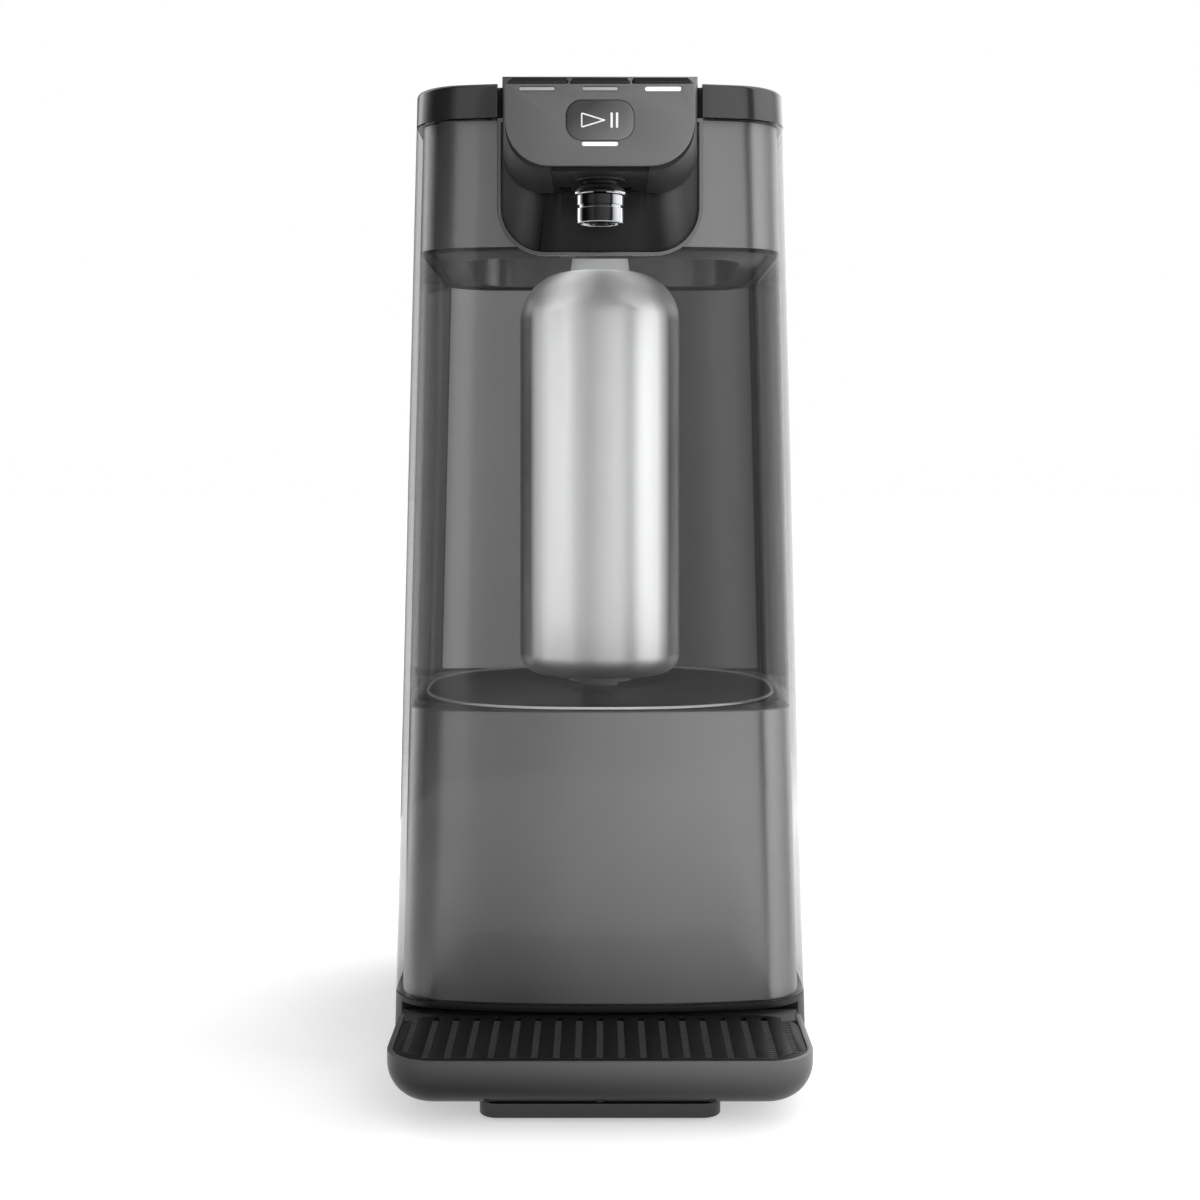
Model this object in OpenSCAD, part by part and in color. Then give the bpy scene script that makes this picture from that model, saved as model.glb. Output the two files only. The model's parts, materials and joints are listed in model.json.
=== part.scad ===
/* [Column] */
// Depth of the column from its front face to its back
body_depth = 166; // [150:1:190]
// Width of the column at the top of its shell
top_w = 131; // [124:1:140]
// Width of the column at the bottom of its shell
bottom_w = 145.6; // [141:0.2:160]
// Radius of the slightly bowed front
front_bow_r = 260; // [200:5:400]
// Radius of the front corners, seen from above
front_corner_r = 20; // [16:1:24]
// Radius of the rear corners, seen from above
rear_corner_r = 24; // [18:1:26]
// Wall thickness of the smoked shell and the rear cover
shell_wall = 2.4; // [2:0.1:2.6]

/* [Heights above the worktop] */
// Bottom edge of the shell
shell_bottom = 25.2; // [24:0.1:28]
// Top of the lower housing, where the tank stands
deck_top = 126; // [120:1:135]
// Underside of the fill collar, at the tank's rim
collar_bottom = 287.2; // [280:0.2:292]
// Top edge of the shell, where the lid starts
shell_top = 331.4; // [325:0.2:340]
// Height of the lid
lid_h = 11.8; // [9:0.1:14]

/* [Head] */
// How far the head's face stands in front of the column
head_reach = 50; // [42:1:60]
// Width of the head's face
face_w = 60; // [56:1:66]
// Width of the head where it meets the column
head_root_w = 67; // [62:1:68]
// Height of the head's face
face_h = 25.8; // [22:0.2:30]
// Radius of the face's two lower corners
face_corner_r = 14; // [8:1:16]
// Slope of the head's top, down towards the front
head_slope = 14.6; // [8:0.2:18]
// Travel of the buttons
button_travel = 1.2; // [0.8:0.1:1.4]

/* [Filter] */
// Radius of the filter canister
canister_r = 30.5; // [26:0.5:32]
// Distance of the filter's axis behind the front face
filter_back = 70; // [64:1:76]

/* [Tray] */
// How far the drip tray stands in front of the column
tray_reach = 52; // [46:1:60]
// Width of the drip tray
tray_w = 138; // [130:1:139]
// Height of the tray's top edge
tray_top = 22.5; // [20:0.1:22.6]
// Rows of drain holes
hole_rows = 19; // [11:2:19]
// Drain holes in each row
holes_per_row = 11; // [6:1:13]

/* [Hidden] */
$fn = 72;
nothing = 0.01;
gap = 0.3; // clearance between separate bodies
seat = 0.1; // clearance between pieces of one body
dark = "#35373a";
black = "#17181a";
grey = "#77797c";
pale = "#c4c6c8";
steel = "#b9bbbe";
smoke = [0.32, 0.33, 0.35, 0.45];

// hinge of the lid, outside the back of the column
pin_r = 1.5;
pin_fit = 0.05;
knuckle_r = 3.2;
hinge_out = 3.5;
hinge_z = shell_top + 0.4;

depth_total = tray_reach + body_depth + hinge_out + knuckle_r;
front_y = tray_reach - depth_total / 2;
back_y = front_y + body_depth;
split_y = back_y - rear_corner_r - 2;
hinge_y = back_y + hinge_out;
lid_top = shell_top + 0.4 + lid_h;

// the side walls lean inwards towards the top
lean = atan((bottom_w - top_w) / 2 / (shell_top - shell_bottom));
lean_shift = (lid_top - shell_top) * tan(lean);
plan_half_w = top_w / 2 - lean_shift;

base_bottom = 6.5;
base_top = shell_bottom - 0.3;
duct = 22; // depth of the duct between the tank and the rear cover
tank_back = back_y - duct;
tank_wall = 2.2;
tank_floor_top = deck_top + 3.6;
filter_y = front_y + filter_back;
well_front = front_y + 38;
well_half_w = 52;

face_y = front_y - head_reach;
face_top = 331.9;
face_bottom = face_top - face_h;
head_bottom = face_bottom - 1.4;
face_t = 2.2;
head_wall = 2;
head_flare = atan((head_root_w - face_w) / 2 / head_reach);
panel_half_w = 35.5;
panel_top = shell_top - 0.4;
panel_bottom = 283.4;
panel_corner_r = 17;

button_w = 18.6;
button_pitch = 20;
button_len = 24;
button_cap = 3;
button_front = 1.5;
button_rise = 0.8; // how far the buttons stand out of the sloping top
play_w = 21.5;
play_h = 12.7;
play_r = 5.6;
play_z = 320.4;
light_w = 11.2;
light_h = 1.3;
mode_light_z = 330.3;
play_light_z = 312.9;

spout_y = face_y + 20;
spout_r = 7.9;
spout_bottom = 290.3;

tray_front = front_y - tray_reach;
tray_rear = front_y + 13;
tray_bottom = 6.8;
tray_corner_r = 16;
tray_fillet = 12;
tray_wall = 1.8;
grille_t = 1.6;

foot_half_w = 39;
foot_front = front_y - 43;

// ---------- shared shapes ----------

// A flat box given by its two corners.
module span(low, high) {
    translate(low) cube(high - low);
}

// Right half of the column's outline, moved inwards by t, with its back at rear.
module half_plan(t, rear) {
    corner_x = plan_half_w - front_corner_r;
    corner_y = front_y + front_bow_r
        - sqrt(pow(front_bow_r - front_corner_r, 2) - pow(corner_x, 2));
    meet_x = corner_x * (front_bow_r - t) / (front_bow_r - front_corner_r);
    meet_y = front_y + front_bow_r - sqrt(pow(front_bow_r - t, 2) - pow(meet_x, 2));
    rear_y = rear - rear_corner_r;
    intersection() {
        translate([0, front_y + front_bow_r]) circle(r = front_bow_r - t);
        translate([0, front_y - 1]) square([meet_x, meet_y - front_y + 2]);
    }
    polygon([
        [-12, front_y + t], [0, front_y + t], [0, meet_y], [meet_x, meet_y],
        [plan_half_w - t, corner_y], [plan_half_w - t, rear_y],
        [plan_half_w - rear_corner_r, rear - t], [-12, rear - t]
    ]);
    translate([corner_x, corner_y]) circle(r = front_corner_r - t);
    translate([plan_half_w - rear_corner_r, rear_y]) circle(r = rear_corner_r - t);
}

// Leaning column between two heights, moved inwards by t.
module column(t, low, high, rear = back_y) {
    for (side = [0, 1]) mirror([side, 0, 0])
        intersection() {
            translate([0, 0, lid_top]) rotate([0, -lean, 0]) translate([0, 0, -lid_top - 10])
                linear_extrude(lid_top + 20) half_plan(t, rear);
            span([0, front_y - 5, low], [100, rear + 5, high]);
        }
}

// Walls of the column only, between two insets.
module ring(outer, inner, low, high, rear = back_y) {
    difference() {
        column(outer, low, high, rear);
        column(inner, low - 1, high + 1, rear);
    }
}

// Rectangle with round corners, about the origin.
module round_rect(w, h, r) {
    square([w - 2 * r, h], center = true);
    square([w, h - 2 * r], center = true);
    for (x = [-1, 1], y = [-1, 1]) translate([x * (w / 2 - r), y * (h / 2 - r)]) circle(r = r);
}

// Upright U: straight top, two round lower corners of radius r.
module u_outline(half_w, low, high, r) {
    translate([-half_w, low + r]) square([2 * half_w, high - low - r]);
    translate([r - half_w, low]) square([2 * (half_w - r), high - low]);
    for (x = [-1, 1]) translate([x * (half_w - r), low + r]) circle(r = r);
}

// Extrudes an outline drawn in x and z from one y to another.
module along_y(from, to) {
    translate([0, to, 0]) rotate([90, 0, 0]) linear_extrude(to - from) children();
}

function unit(v) = v / norm(v);

// Point at k (0 to 1) on the curve that rounds the corner at b between a and c.
function bend(a, b, c, k) = pow(1 - k, 2) * a + 2 * k * (1 - k) * b + pow(k, 2) * c;

// Route through the points, with each corner cut back by up to reach and rounded.
function rounded(p, reach = 12, steps = 4) = [
    p[0],
    for (i = [1 : len(p) - 2])
        let (
            back = min(reach, norm(p[i] - p[i - 1]) * 0.45),
            on = min(reach, norm(p[i + 1] - p[i]) * 0.45),
            a = p[i] + unit(p[i - 1] - p[i]) * back,
            c = p[i] + unit(p[i + 1] - p[i]) * on
        )
        for (k = [0 : steps]) bend(a, p[i], c, k / steps),
    p[len(p) - 1]
];

// Hose swept along a route, ten-sided.
module hose(route, r) {
    sides = 10;
    p = rounded(route);
    last = len(p) - 1;
    rings = [
        for (i = [0 : last])
            let (
                along = unit(p[min(i + 1, last)] - p[max(i - 1, 0)]),
                across = unit(cross(along, [0.31, 0.52, 0.21])),
                up = cross(along, across)
            )
            for (k = [0 : sides - 1]) p[i] + r * (cos(360 * k / sides) * across + sin(360 * k / sides) * up)
    ];
    walls = [
        for (i = [0 : last - 1], k = [0 : sides - 1])
            let (n = (k + 1) % sides)
            [i * sides + k, (i + 1) * sides + k, (i + 1) * sides + n, i * sides + n]
    ];
    polyhedron(rings, concat(walls, [
        [for (k = [0 : sides - 1]) k],
        [for (k = [sides - 1 : -1 : 0]) last * sides + k]
    ]), convexity = 10);
}

// Pan-head screw with its head's top at the origin, pointing down.
module screw(length, r = 1.5) {
    difference() {
        translate([0, 0, -1.8]) cylinder(r = 2 * r, h = 1.8);
        for (a = [0, 90]) rotate(a) translate([-r, -0.3, -1]) cube([2 * r, 0.6, 2]);
    }
    translate([0, 0, -length]) cylinder(r = r, h = length - 1.8 + nothing);
}

// Places a child on the head's sloping top: x across, y up the slope, z out of it.
module on_slope() {
    translate([0, face_y, face_top]) rotate([head_slope, 0, 0]) children();
}

// ---------- feet and base ----------

front_pad_y = front_y - 30;

module front_pad() {
    color(black) translate([0, front_pad_y, 0]) linear_extrude(1.5) round_rect(64, 12, 4);
}

module foot_plan(t) {
    translate([0, (foot_front + tray_rear) / 2])
        round_rect(2 * (foot_half_w - t), tray_rear - foot_front - 2 * t, 6 - t);
}

module front_foot() {
    color(dark) translate([0, 0, 1.5 + seat]) linear_extrude(base_bottom - 1.5 - 2 * seat) foot_plan(0);
}

rear_feet_at = [[-50, back_y - 26], [50, back_y - 26]];
base_screws_at = [[-52, front_y + 34], [52, front_y + 34], [-30, back_y - 12], [30, back_y - 12]];

module rear_feet() {
    color(black) for (p = rear_feet_at) translate(p) cylinder(r = 8, h = base_bottom - seat);
}

module base_pan() {
    color(dark) difference() {
        column(0, base_bottom, base_top);
        difference() {
            column(shell_wall, base_bottom + 3, base_top + 1);
            span([-90, front_y, base_bottom], [90, tray_rear + 3.4, base_top + 2]);
        }
        // recess that the rear of the drip tray slides into
        span([-tray_w / 2 - 0.6, front_y - 6, base_bottom - 1],
             [tray_w / 2 + 0.6, tray_rear + 0.8, tray_top + 0.5]);
        for (p = base_screws_at) translate([p.x, p.y, base_bottom - 1]) {
            cylinder(r = 1.7, h = 10);
            cylinder(r = 3.4, h = 2.9);
        }
    }
}

module base_screws() {
    color(steel) for (p = base_screws_at)
        translate([p.x, p.y, base_bottom]) mirror([0, 0, 1]) screw(9);
}

// ---------- covers of the column ----------

// Opening for the hose and wires of the head.
module head_opening(grow = 0) {
    along_y(front_y - 10, front_y + 12)
        translate([0, 317]) square([26 + grow, 16 + grow], center = true);
}

module front_shell() {
    color(smoke) difference() {
        ring(0, shell_wall, shell_bottom, shell_top);
        span([-100, split_y - seat, 0], [100, back_y + 10, 400]);
        head_opening(2);
    }
}

rear_screws_at = [[-50, 34], [50, 34], [-44, 318], [44, 318]];
gland_at = [-34, 46];
gland_bore = 3.6;

module rear_cover() {
    color(dark) {
        difference() {
            ring(0, shell_wall, shell_bottom, shell_top);
            span([-100, front_y - 10, 0], [100, split_y + seat, 400]);
            // air slots beside the power board
            for (i = [0 : 8]) along_y(back_y - 6, back_y + 1)
                translate([10, 66 + 5 * i]) round_rect(56, 2, 0.99);
            for (p = rear_screws_at) along_y(back_y - 6, back_y + 1)
                translate(p) circle(r = 1.7);
            along_y(back_y - 6, back_y + 1) translate(gland_at) circle(r = 6.1);
        }
        // two outer knuckles of the lid's hinge
        for (x = [-26, 14]) {
            difference() {
                union() {
                    translate([x, hinge_y, hinge_z]) rotate([0, 90, 0]) cylinder(r = knuckle_r, h = 12);
                    span([x, back_y - 1, hinge_z - 7], [x + 12, hinge_y + 1, hinge_z - 1]);
                }
                translate([x - 1, hinge_y, hinge_z]) rotate([0, 90, 0]) cylinder(r = pin_r + pin_fit, h = 14);
                span([x - 1, back_y - 3, shell_top], [x + 13, back_y + 0.3, hinge_z + 4]);
            }
        }
    }
}

module rear_screws() {
    color(steel) for (p = rear_screws_at)
        translate([p.x, back_y + 1.9, p[1]]) rotate([-90, 0, 0]) screw(9);
}

module cable_gland() {
    color(black) difference() {
        union() {
            translate([gland_at.x, back_y - 9, gland_at[1]]) rotate([-90, 0, 0]) cylinder(r = 6, h = 14);
            translate([gland_at.x, back_y + seat, gland_at[1]]) rotate([-90, 0, 0]) cylinder(r = 8, h = 1.6);
        }
        translate([gland_at.x, back_y - 10, gland_at[1]]) rotate([-90, 0, 0])
            cylinder(r = gland_bore, h = 17);
    }
}

// ---------- lower housing, tank and collar ----------

module lower_housing() {
    color(dark) difference() {
        union() {
            ring(shell_wall + seat, shell_wall + 2.6, shell_bottom - 0.2, deck_top, tank_back + 1);
            column(shell_wall + seat, deck_top - 2.8, deck_top, tank_back + 1);
        }
        // open towards the rear cover
        span([-42, tank_back - 20, shell_bottom - 1], [42, back_y, deck_top - 6]);
        translate([0, filter_y, 0]) cylinder(r = 11.5, h = deck_top + 1);
    }
}

module tank() {
    color(smoke) difference() {
        union() {
            column(shell_wall + 0.5, deck_top + seat, collar_bottom - 1 - seat, tank_back);
            translate([0, filter_y, deck_top - 14]) cylinder(r = 11, h = 16);
        }
        column(shell_wall + 0.5 + tank_wall, tank_floor_top, collar_bottom + 1, tank_back);
        translate([0, filter_y, deck_top - 15]) cylinder(r = 7.1, h = 40);
    }
}

module tank_gasket() {
    color(black) ring(shell_wall + 0.5, shell_wall + 4, collar_bottom - 1, collar_bottom - seat, tank_back);
}

module back_panel() {
    color(grey) difference() {
        intersection() {
            column(shell_wall + 0.6, deck_top + seat, shell_top - 0.5);
            span([-80, tank_back + 1.8, 0], [80, tank_back + 3.4, 400]);
        }
        // way through for the riser hose
        span([-64, tank_back, 304], [-54, back_y, 316]);
    }
}

// Well that the water is poured through, down into the tank.
module well_plan(t) {
    translate([0, (well_front + tank_back - 8) / 2])
        round_rect(2 * (well_half_w + t), tank_back - 8 - well_front + 2 * t, 18 + t);
}

module upper_collar() {
    color(dark) difference() {
        union() {
            ring(shell_wall + seat, shell_wall + 2.2, collar_bottom, shell_top - 0.3, tank_back + 1);
            column(shell_wall + seat, collar_bottom, collar_bottom + 2, tank_back + 1);
            translate([0, 0, collar_bottom]) linear_extrude(shell_top - 0.3 - collar_bottom) well_plan(2);
        }
        translate([0, 0, collar_bottom - 1]) linear_extrude(60) well_plan(0);
        head_opening(2);
        // way in for the riser hose, and its way out into the equipment bay
        span([-61.4, tank_back - 24, 306], [-55.6, back_y, 314]);
    }
}

module bay_cover() {
    color(dark) difference() {
        column(shell_wall + 2.4, shell_top - 2.4, shell_top - 0.4, tank_back);
        translate([0, 0, shell_top - 3]) linear_extrude(10) well_plan(2.2);
        span([-80, well_front - 6, 300], [80, back_y, 340]);
    }
}

// ---------- water and power inside ----------

fitting_z = deck_top - 14;
pump_at = [-30, filter_y - 6, 52];
heater_at = [38, filter_y - 2];

module tank_fitting() {
    color(pale) difference() {
        union() {
            translate([0, filter_y, fitting_z - 10]) cylinder(r = 11, h = 10 - seat);
            translate([0, filter_y, fitting_z - 6]) rotate([0, -90, 0]) cylinder(r = 3.4, h = 18);
        }
        translate([0, filter_y, fitting_z - 8]) cylinder(r = 7, h = 12);
        translate([0, filter_y, fitting_z - 6]) rotate([0, -90, 0]) cylinder(r = 1.6, h = 20);
    }
}

module pump_motor() {
    color(steel) translate([pump_at.x, pump_at.y + 17, pump_at.z]) rotate([-90, 0, 0]) {
        cylinder(r = 13.5, h = 34);
        translate([0, 0, 34]) cylinder(r = 4, h = 3);
    }
}

module pump_head() {
    color(black) translate(pump_at) {
        span([-17, -13, -16], [17, 16.8, 16]);
        translate([-9, 0, 16]) cylinder(r = 3, h = 8);
        translate([9, 0, 16]) cylinder(r = 3, h = 8);
    }
}

module pump_cradle() {
    color(grey) difference() {
        span([pump_at.x - 18, pump_at.y - 14, base_bottom + 3.1],
             [pump_at.x + 18, pump_at.y + 54, pump_at.z - 6]);
        translate([pump_at.x, pump_at.y + 16.9, pump_at.z]) rotate([-90, 0, 0]) cylinder(r = 13.7, h = 60);
        span([pump_at.x - 17.1, pump_at.y - 15, pump_at.z - 16.1],
             [pump_at.x + 17.1, pump_at.y + 17, pump_at.z]);
    }
}

module heater() {
    color(steel) translate([heater_at.x, heater_at.y, 30]) {
        cylinder(r = 15, h = 76);
        translate([0, 0, 76]) cylinder(r = 11, h = 4);
        for (x = [-6, 6]) translate([x, 0, 80 - nothing]) cylinder(r = 3, h = 7);
    }
}

module heater_clips() {
    color(grey) for (z = [36, 92]) difference() {
        union() {
            translate([heater_at.x, heater_at.y, z]) cylinder(r = 17, h = 8);
            span([heater_at.x - 6, heater_at.y + 12, z], [heater_at.x + 6, heater_at.y + 26, z + 8]);
        }
        translate([heater_at.x, heater_at.y, z - 1]) cylinder(r = 15.1, h = 10);
    }
}

board_y = back_y - 15;

module power_board() {
    color("#2f6b45") span([-24, board_y, 40], [50, board_y + 1.6, 104]);
}

module power_parts() {
    color(black) {
        span([-18, board_y - 18, 74], [8, board_y - seat, 98]);
        span([12, board_y - 8, 48], [38, board_y - seat, 62]);
        for (x = [16, 32]) translate([x, board_y - seat, 84]) rotate([90, 0, 0]) cylinder(r = 6, h = 16);
    }
}

hose_r = 2.6;
feed_top = pump_at.z + 24.1;
heater_top = 117.1;
hose_run_z = 120.4;

module suction_hose() {
    color(pale) hose([
        [-18.2, filter_y, fitting_z - 6], [-26, filter_y, fitting_z - 6],
        [pump_at.x - 9, pump_at.y, 90], [pump_at.x - 9, pump_at.y, feed_top]
    ], hose_r);
}

module feed_hose() {
    color(pale) hose([
        [pump_at.x + 9, pump_at.y, feed_top], [pump_at.x + 9, pump_at.y, 84],
        [6, pump_at.y - 28, 84], [heater_at.x - 6, pump_at.y - 28, hose_run_z],
        [heater_at.x - 6, heater_at.y, hose_run_z], [heater_at.x - 6, heater_at.y, heater_top]
    ], hose_r - 0.4);
}

riser_x = -52;
riser_y = tank_back + 9;

module riser_hose() {
    color(pale) hose([
        [heater_at.x + 6, heater_at.y, heater_top], [heater_at.x + 6, heater_at.y, hose_run_z],
        [heater_at.x + 6, heater_at.y + 20, hose_run_z], [heater_at.x, tank_back - 16, 110],
        [heater_at.x, riser_y, 110], [heater_at.x, riser_y, 150], [riser_x, riser_y, 190],
        [-58.6, riser_y, 310], [-58.6, front_y + 30, 310], [-40, front_y + 22, 310],
        [-12.2, front_y + 22, 310]
    ], hose_r - 0.4);
}

module dispense_valve() {
    color(grey) translate([0, front_y + 22, 0]) {
        span([-12, -9, 302], [12, 9, 322]);
        translate([0, 0, 322]) cylinder(r = 6, h = 5);
    }
}

module spout_hose() {
    color(pale) hose([
        [0, front_y + 12.8, 317], [0, front_y - 10, 317], [0, spout_y, 317],
        [0, spout_y, head_bottom + head_wall + 4.1]
    ], hose_r);
}

// ---------- head ----------

// Curved plate that lies on the front of the shell, with the U outline moved inwards by t.
module on_front(t, near, far) {
    intersection() {
        along_y(front_y - 20, front_y + 20)
            u_outline(panel_half_w - t, panel_bottom + t, panel_top, panel_corner_r - t);
        difference() {
            translate([0, front_y + front_bow_r, 200]) cylinder(r = front_bow_r + near, h = 200);
            translate([0, front_y + front_bow_r, 199]) cylinder(r = front_bow_r + far, h = 202);
        }
    }
}

module spout_panel() {
    color(black) difference() {
        on_front(1.5, 1.6, 0.4);
        head_opening();
    }
}

module panel_bead() {
    color(steel) difference() {
        on_front(0, 2.1, 0.4);
        on_front(1.4, 5, -5);
    }
}

// Half of the head's outline as a leaning bar, with its face moved inwards by t.
module head_block(t, low, high) {
    for (side = [0, 1]) mirror([side, 0, 0]) intersection() {
        translate([face_w / 2, face_y, 0]) rotate([0, 0, -head_flare])
            translate([-face_w / 2, -face_y, 0]) along_y(face_y - 12, face_y + 80)
                u_outline(face_w / 2 - t, low + t, high, face_corner_r - t);
        span([0, face_y - 20, low], [60, face_y + 80, high + 20]);
    }
}

head_back = front_y - 2.4;
cover_half_w = 15.5; // inside the flat of the head's underside
root_back = front_y + 9;

// Everything under the head's sloping top, shortened to end at its face.
module head_limits(drop, front, back) {
    intersection() {
        on_slope() span([-60, -20, -90], [60, 100, -drop]);
        span([-60, front, 0], [60, back, 400]);
    }
}

module head_solid(t, low, front, back) {
    intersection() {
        head_block(t, low, 360);
        head_limits(t, front, back);
    }
}

module button_well(x, grow, depth) {
    on_slope() translate([x, button_front + button_len / 2, -depth])
        linear_extrude(depth + 5) round_rect(button_w + 2 * grow, button_len + 2 * grow, 2);
}

module head_shell() {
    color(grey) {
        difference() {
            head_solid(0, head_bottom, face_y + face_t + seat, head_back);
            // hollow, crossed at the back by the bar that the cover is screwed to
            difference() {
                head_solid(head_wall, head_bottom, face_y + face_t + 2, head_back + 5);
                span([-30, head_screws_at[0].y - 3.5, head_bottom],
                     [30, head_screws_at[0].y + 3.5, head_bottom + head_wall + 3]);
            }
            // way in from below, which the cover closes
            span([-cover_half_w - seat, face_y + face_t + 2, head_bottom - 1],
                 [cover_half_w + seat, head_back + 1, head_bottom + head_wall + seat]);
            for (p = head_screws_at)
                translate([p.x, p.y, head_bottom + head_wall]) cylinder(r = 1.6, h = 2.2);
            for (i = [-1 : 1]) button_well(i * button_pitch, gap, 10);
            along_y(face_y - 1, face_y + 8)
                translate([0, (play_light_z + mode_light_z) / 2]) square([44, 15.4], center = true);
        }
        // root that rests on the fill collar, in the lid's notch
        difference() {
            head_solid(0, shell_top + 0.5, head_back - 4, root_back);
            span([-60, face_y, 0], [60, head_back - nothing, 400]);
        }
    }
}

module head_cover() {
    color(dark) difference() {
        span([-cover_half_w, face_y + face_t + 2.2, head_bottom + 0.1],
             [cover_half_w, head_back - 0.2, head_bottom + head_wall]);
        translate([0, spout_y, 290]) cylinder(r = 5.75, h = 40);
        for (p = head_screws_at) translate([p.x, p.y, head_bottom]) {
            cylinder(r = 3.2, h = 1.2);
            cylinder(r = 1.6, h = 5);
        }
    }
}

module head_face() {
    color(grey) difference() {
        intersection() {
            along_y(face_y, face_y + face_t) u_outline(face_w / 2, face_bottom, 340, face_corner_r);
            on_slope() span([-60, -20, -90], [60, 100, -0.1]);
        }
        along_y(face_y - 1, face_y + 5) translate([0, play_z])
            round_rect(play_w + 2 * gap, play_h + 2 * gap, play_r + gap);
        for (i = [-1 : 1]) light_slot(i * button_pitch, mode_light_z, 0.08, 0.85);
        light_slot(0, play_light_z, 0.08, 0.85);
        for (i = [-1 : 1]) button_well(i * button_pitch, gap, 10);
    }
}

module light_slot(x, z, grow, depth) {
    along_y(face_y - 1, face_y + depth) translate([x, z])
        round_rect(light_w + 2 * grow, light_h + 2 * grow, light_h / 2 + grow - nothing);
}

module light_bar(x, z, tone) {
    color(tone) intersection() {
        light_slot(x, z, 0, 0.8);
        span([-60, face_y - 0.05, 0], [60, face_y + face_t, 400]);
    }
}

module light_bar_left() { light_bar(-button_pitch, mode_light_z, grey); }
module light_bar_centre() { light_bar(0, mode_light_z, grey); }
module light_bar_right() { light_bar(button_pitch, mode_light_z, "white"); }
module play_light_bar() { light_bar(0, play_light_z, "white"); }

module mode_button(i) {
    color(black) on_slope() translate([i * button_pitch, button_front + button_len / 2, 0]) {
        translate([0, 0, button_rise - button_cap])
            linear_extrude(button_cap) round_rect(button_w, button_len, 1.8);
        translate([0, 2, button_rise - button_cap - 1.4]) linear_extrude(1.5) round_rect(8, 8, 1);
    }
}

module mode_button_left() { mode_button(-1); }
module mode_button_centre() { mode_button(0); }
module mode_button_right() { mode_button(1); }

module play_button() {
    color(black) {
        along_y(face_y + 0.1, face_y + 2.8) translate([0, play_z]) round_rect(play_w, play_h, play_r);
        along_y(face_y + 2.7, face_y + 3.6) translate([0, play_z]) circle(r = 3);
    }
}

board_drop = button_cap - button_rise + 1.4 + button_travel + gap + 1.4;

module control_board() {
    color("#2f6b45") on_slope() span([-26, 8.5, -board_drop - 1.6], [26, 30, -board_drop - seat]);
}

module mode_switches() {
    color(black) on_slope() for (i = [-1 : 1])
        translate([i * button_pitch, button_front + button_len / 2 + 2, -board_drop])
            linear_extrude(1.4) square([5.6, 5.6], center = true);
}

face_board_y = face_y + 3.6 + button_travel + gap + 1;

module face_board() {
    color("#2f6b45") span([-20, face_board_y + seat, play_z - 9.4], [20, face_board_y + 1.6, play_z + 2.4]);
}

module play_switch() {
    color(black) span([-2.8, face_board_y - 1, play_z - 2.8], [2.8, face_board_y, play_z + 2.2]);
}

head_screws_at = [[-11, head_back - 9], [11, head_back - 9]];

module head_screws() {
    color(steel) for (p = head_screws_at)
        translate([p.x, p.y, head_bottom - 0.6]) mirror([0, 0, 1]) screw(4.5);
}

// ---------- spout ----------

collar_low = 299.4;

module spout_neck() {
    color(black) translate([0, spout_y, 0]) difference() {
        union() {
            translate([0, 0, 302.9 + seat]) cylinder(r = 5.6, h = head_bottom + head_wall + 4 - 302.9 - seat);
            translate([0, 0, head_bottom + head_wall + seat]) cylinder(r = 7, h = 1.6);
        }
        translate([0, 0, 290]) cylinder(r = 2.2, h = 40);
    }
}

module spout_collar() {
    color(steel) translate([0, spout_y, 0]) rotate_extrude() difference() {
        union() {
            translate([0, collar_low]) square([8.85, 0.9]);
            intersection() {
                translate([5.65, collar_low + 0.3]) circle(r = 3.2);
                translate([0, collar_low + 0.9 - nothing]) square([9, 3]);
            }
            translate([0, collar_low + 0.9 - nothing]) square([5.7, 2.6]);
        }
        square([2.2, 400]);
    }
}

module spout_barrel() {
    color(steel) translate([0, spout_y, 0]) difference() {
        translate([0, 0, spout_bottom]) cylinder(r = spout_r, h = collar_low - seat - spout_bottom);
        translate([0, 0, spout_bottom - 1]) cylinder(r = 6.3, h = 3.4);
        translate([0, 0, spout_bottom - 1]) cylinder(r = 2.2, h = 30);
        difference() {
            translate([0, 0, 295.1]) cylinder(r = spout_r + 1, h = 0.8);
            translate([0, 0, 295]) cylinder(r = spout_r - 0.6, h = 1);
        }
    }
}

module aerator() {
    color(dark) translate([0, spout_y, spout_bottom + 0.4]) difference() {
        cylinder(r = 6.2, h = 1.8);
        for (a = [0 : 45 : 315]) rotate(a) translate([4.4, 0, -1]) cylinder(r = 0.6, h = 4);
        translate([0, 0, -1]) cylinder(r = 1.5, h = 4);
    }
}

// ---------- lid ----------

module lid() {
    color(black) {
        difference() {
            column(0, shell_top + 0.4, lid_top);
            column(2.2, shell_top, lid_top - 2.2);
            span([-panel_half_w, front_y - 5, 300], [panel_half_w, root_back + 0.8, 400]);
        }
        // wall of the notch around the head's root
        difference() {
            span([-panel_half_w - 1.8, front_y + 4, shell_top + 0.4],
                 [panel_half_w + 1.8, root_back + 2.6, lid_top - 1]);
            span([-panel_half_w, front_y - 5, 300], [panel_half_w, root_back + 0.8, 400]);
        }
        // middle knuckle of the hinge
        difference() {
            union() {
                translate([-13.4, hinge_y, hinge_z]) rotate([0, 90, 0]) cylinder(r = knuckle_r, h = 26.8);
                span([-13.4, back_y - 1, hinge_z + 1], [13.4, hinge_y + 1, hinge_z + 7]);
            }
            translate([-15, hinge_y, hinge_z]) rotate([0, 90, 0]) cylinder(r = pin_r + pin_fit, h = 30);
            span([-15, back_y - 3, hinge_z - 4], [15, back_y + 0.3, hinge_z]);
        }
    }
}

module lid_seal() {
    color(grey) difference() {
        ring(2.3, 3.9, shell_top + 0.3, shell_top + 3);
        span([-panel_half_w - 2, front_y - 5, 300], [panel_half_w + 2, root_back + 8, 400]);
        span([-60, back_y - 10, 300], [60, back_y, 400]);
    }
}

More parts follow.
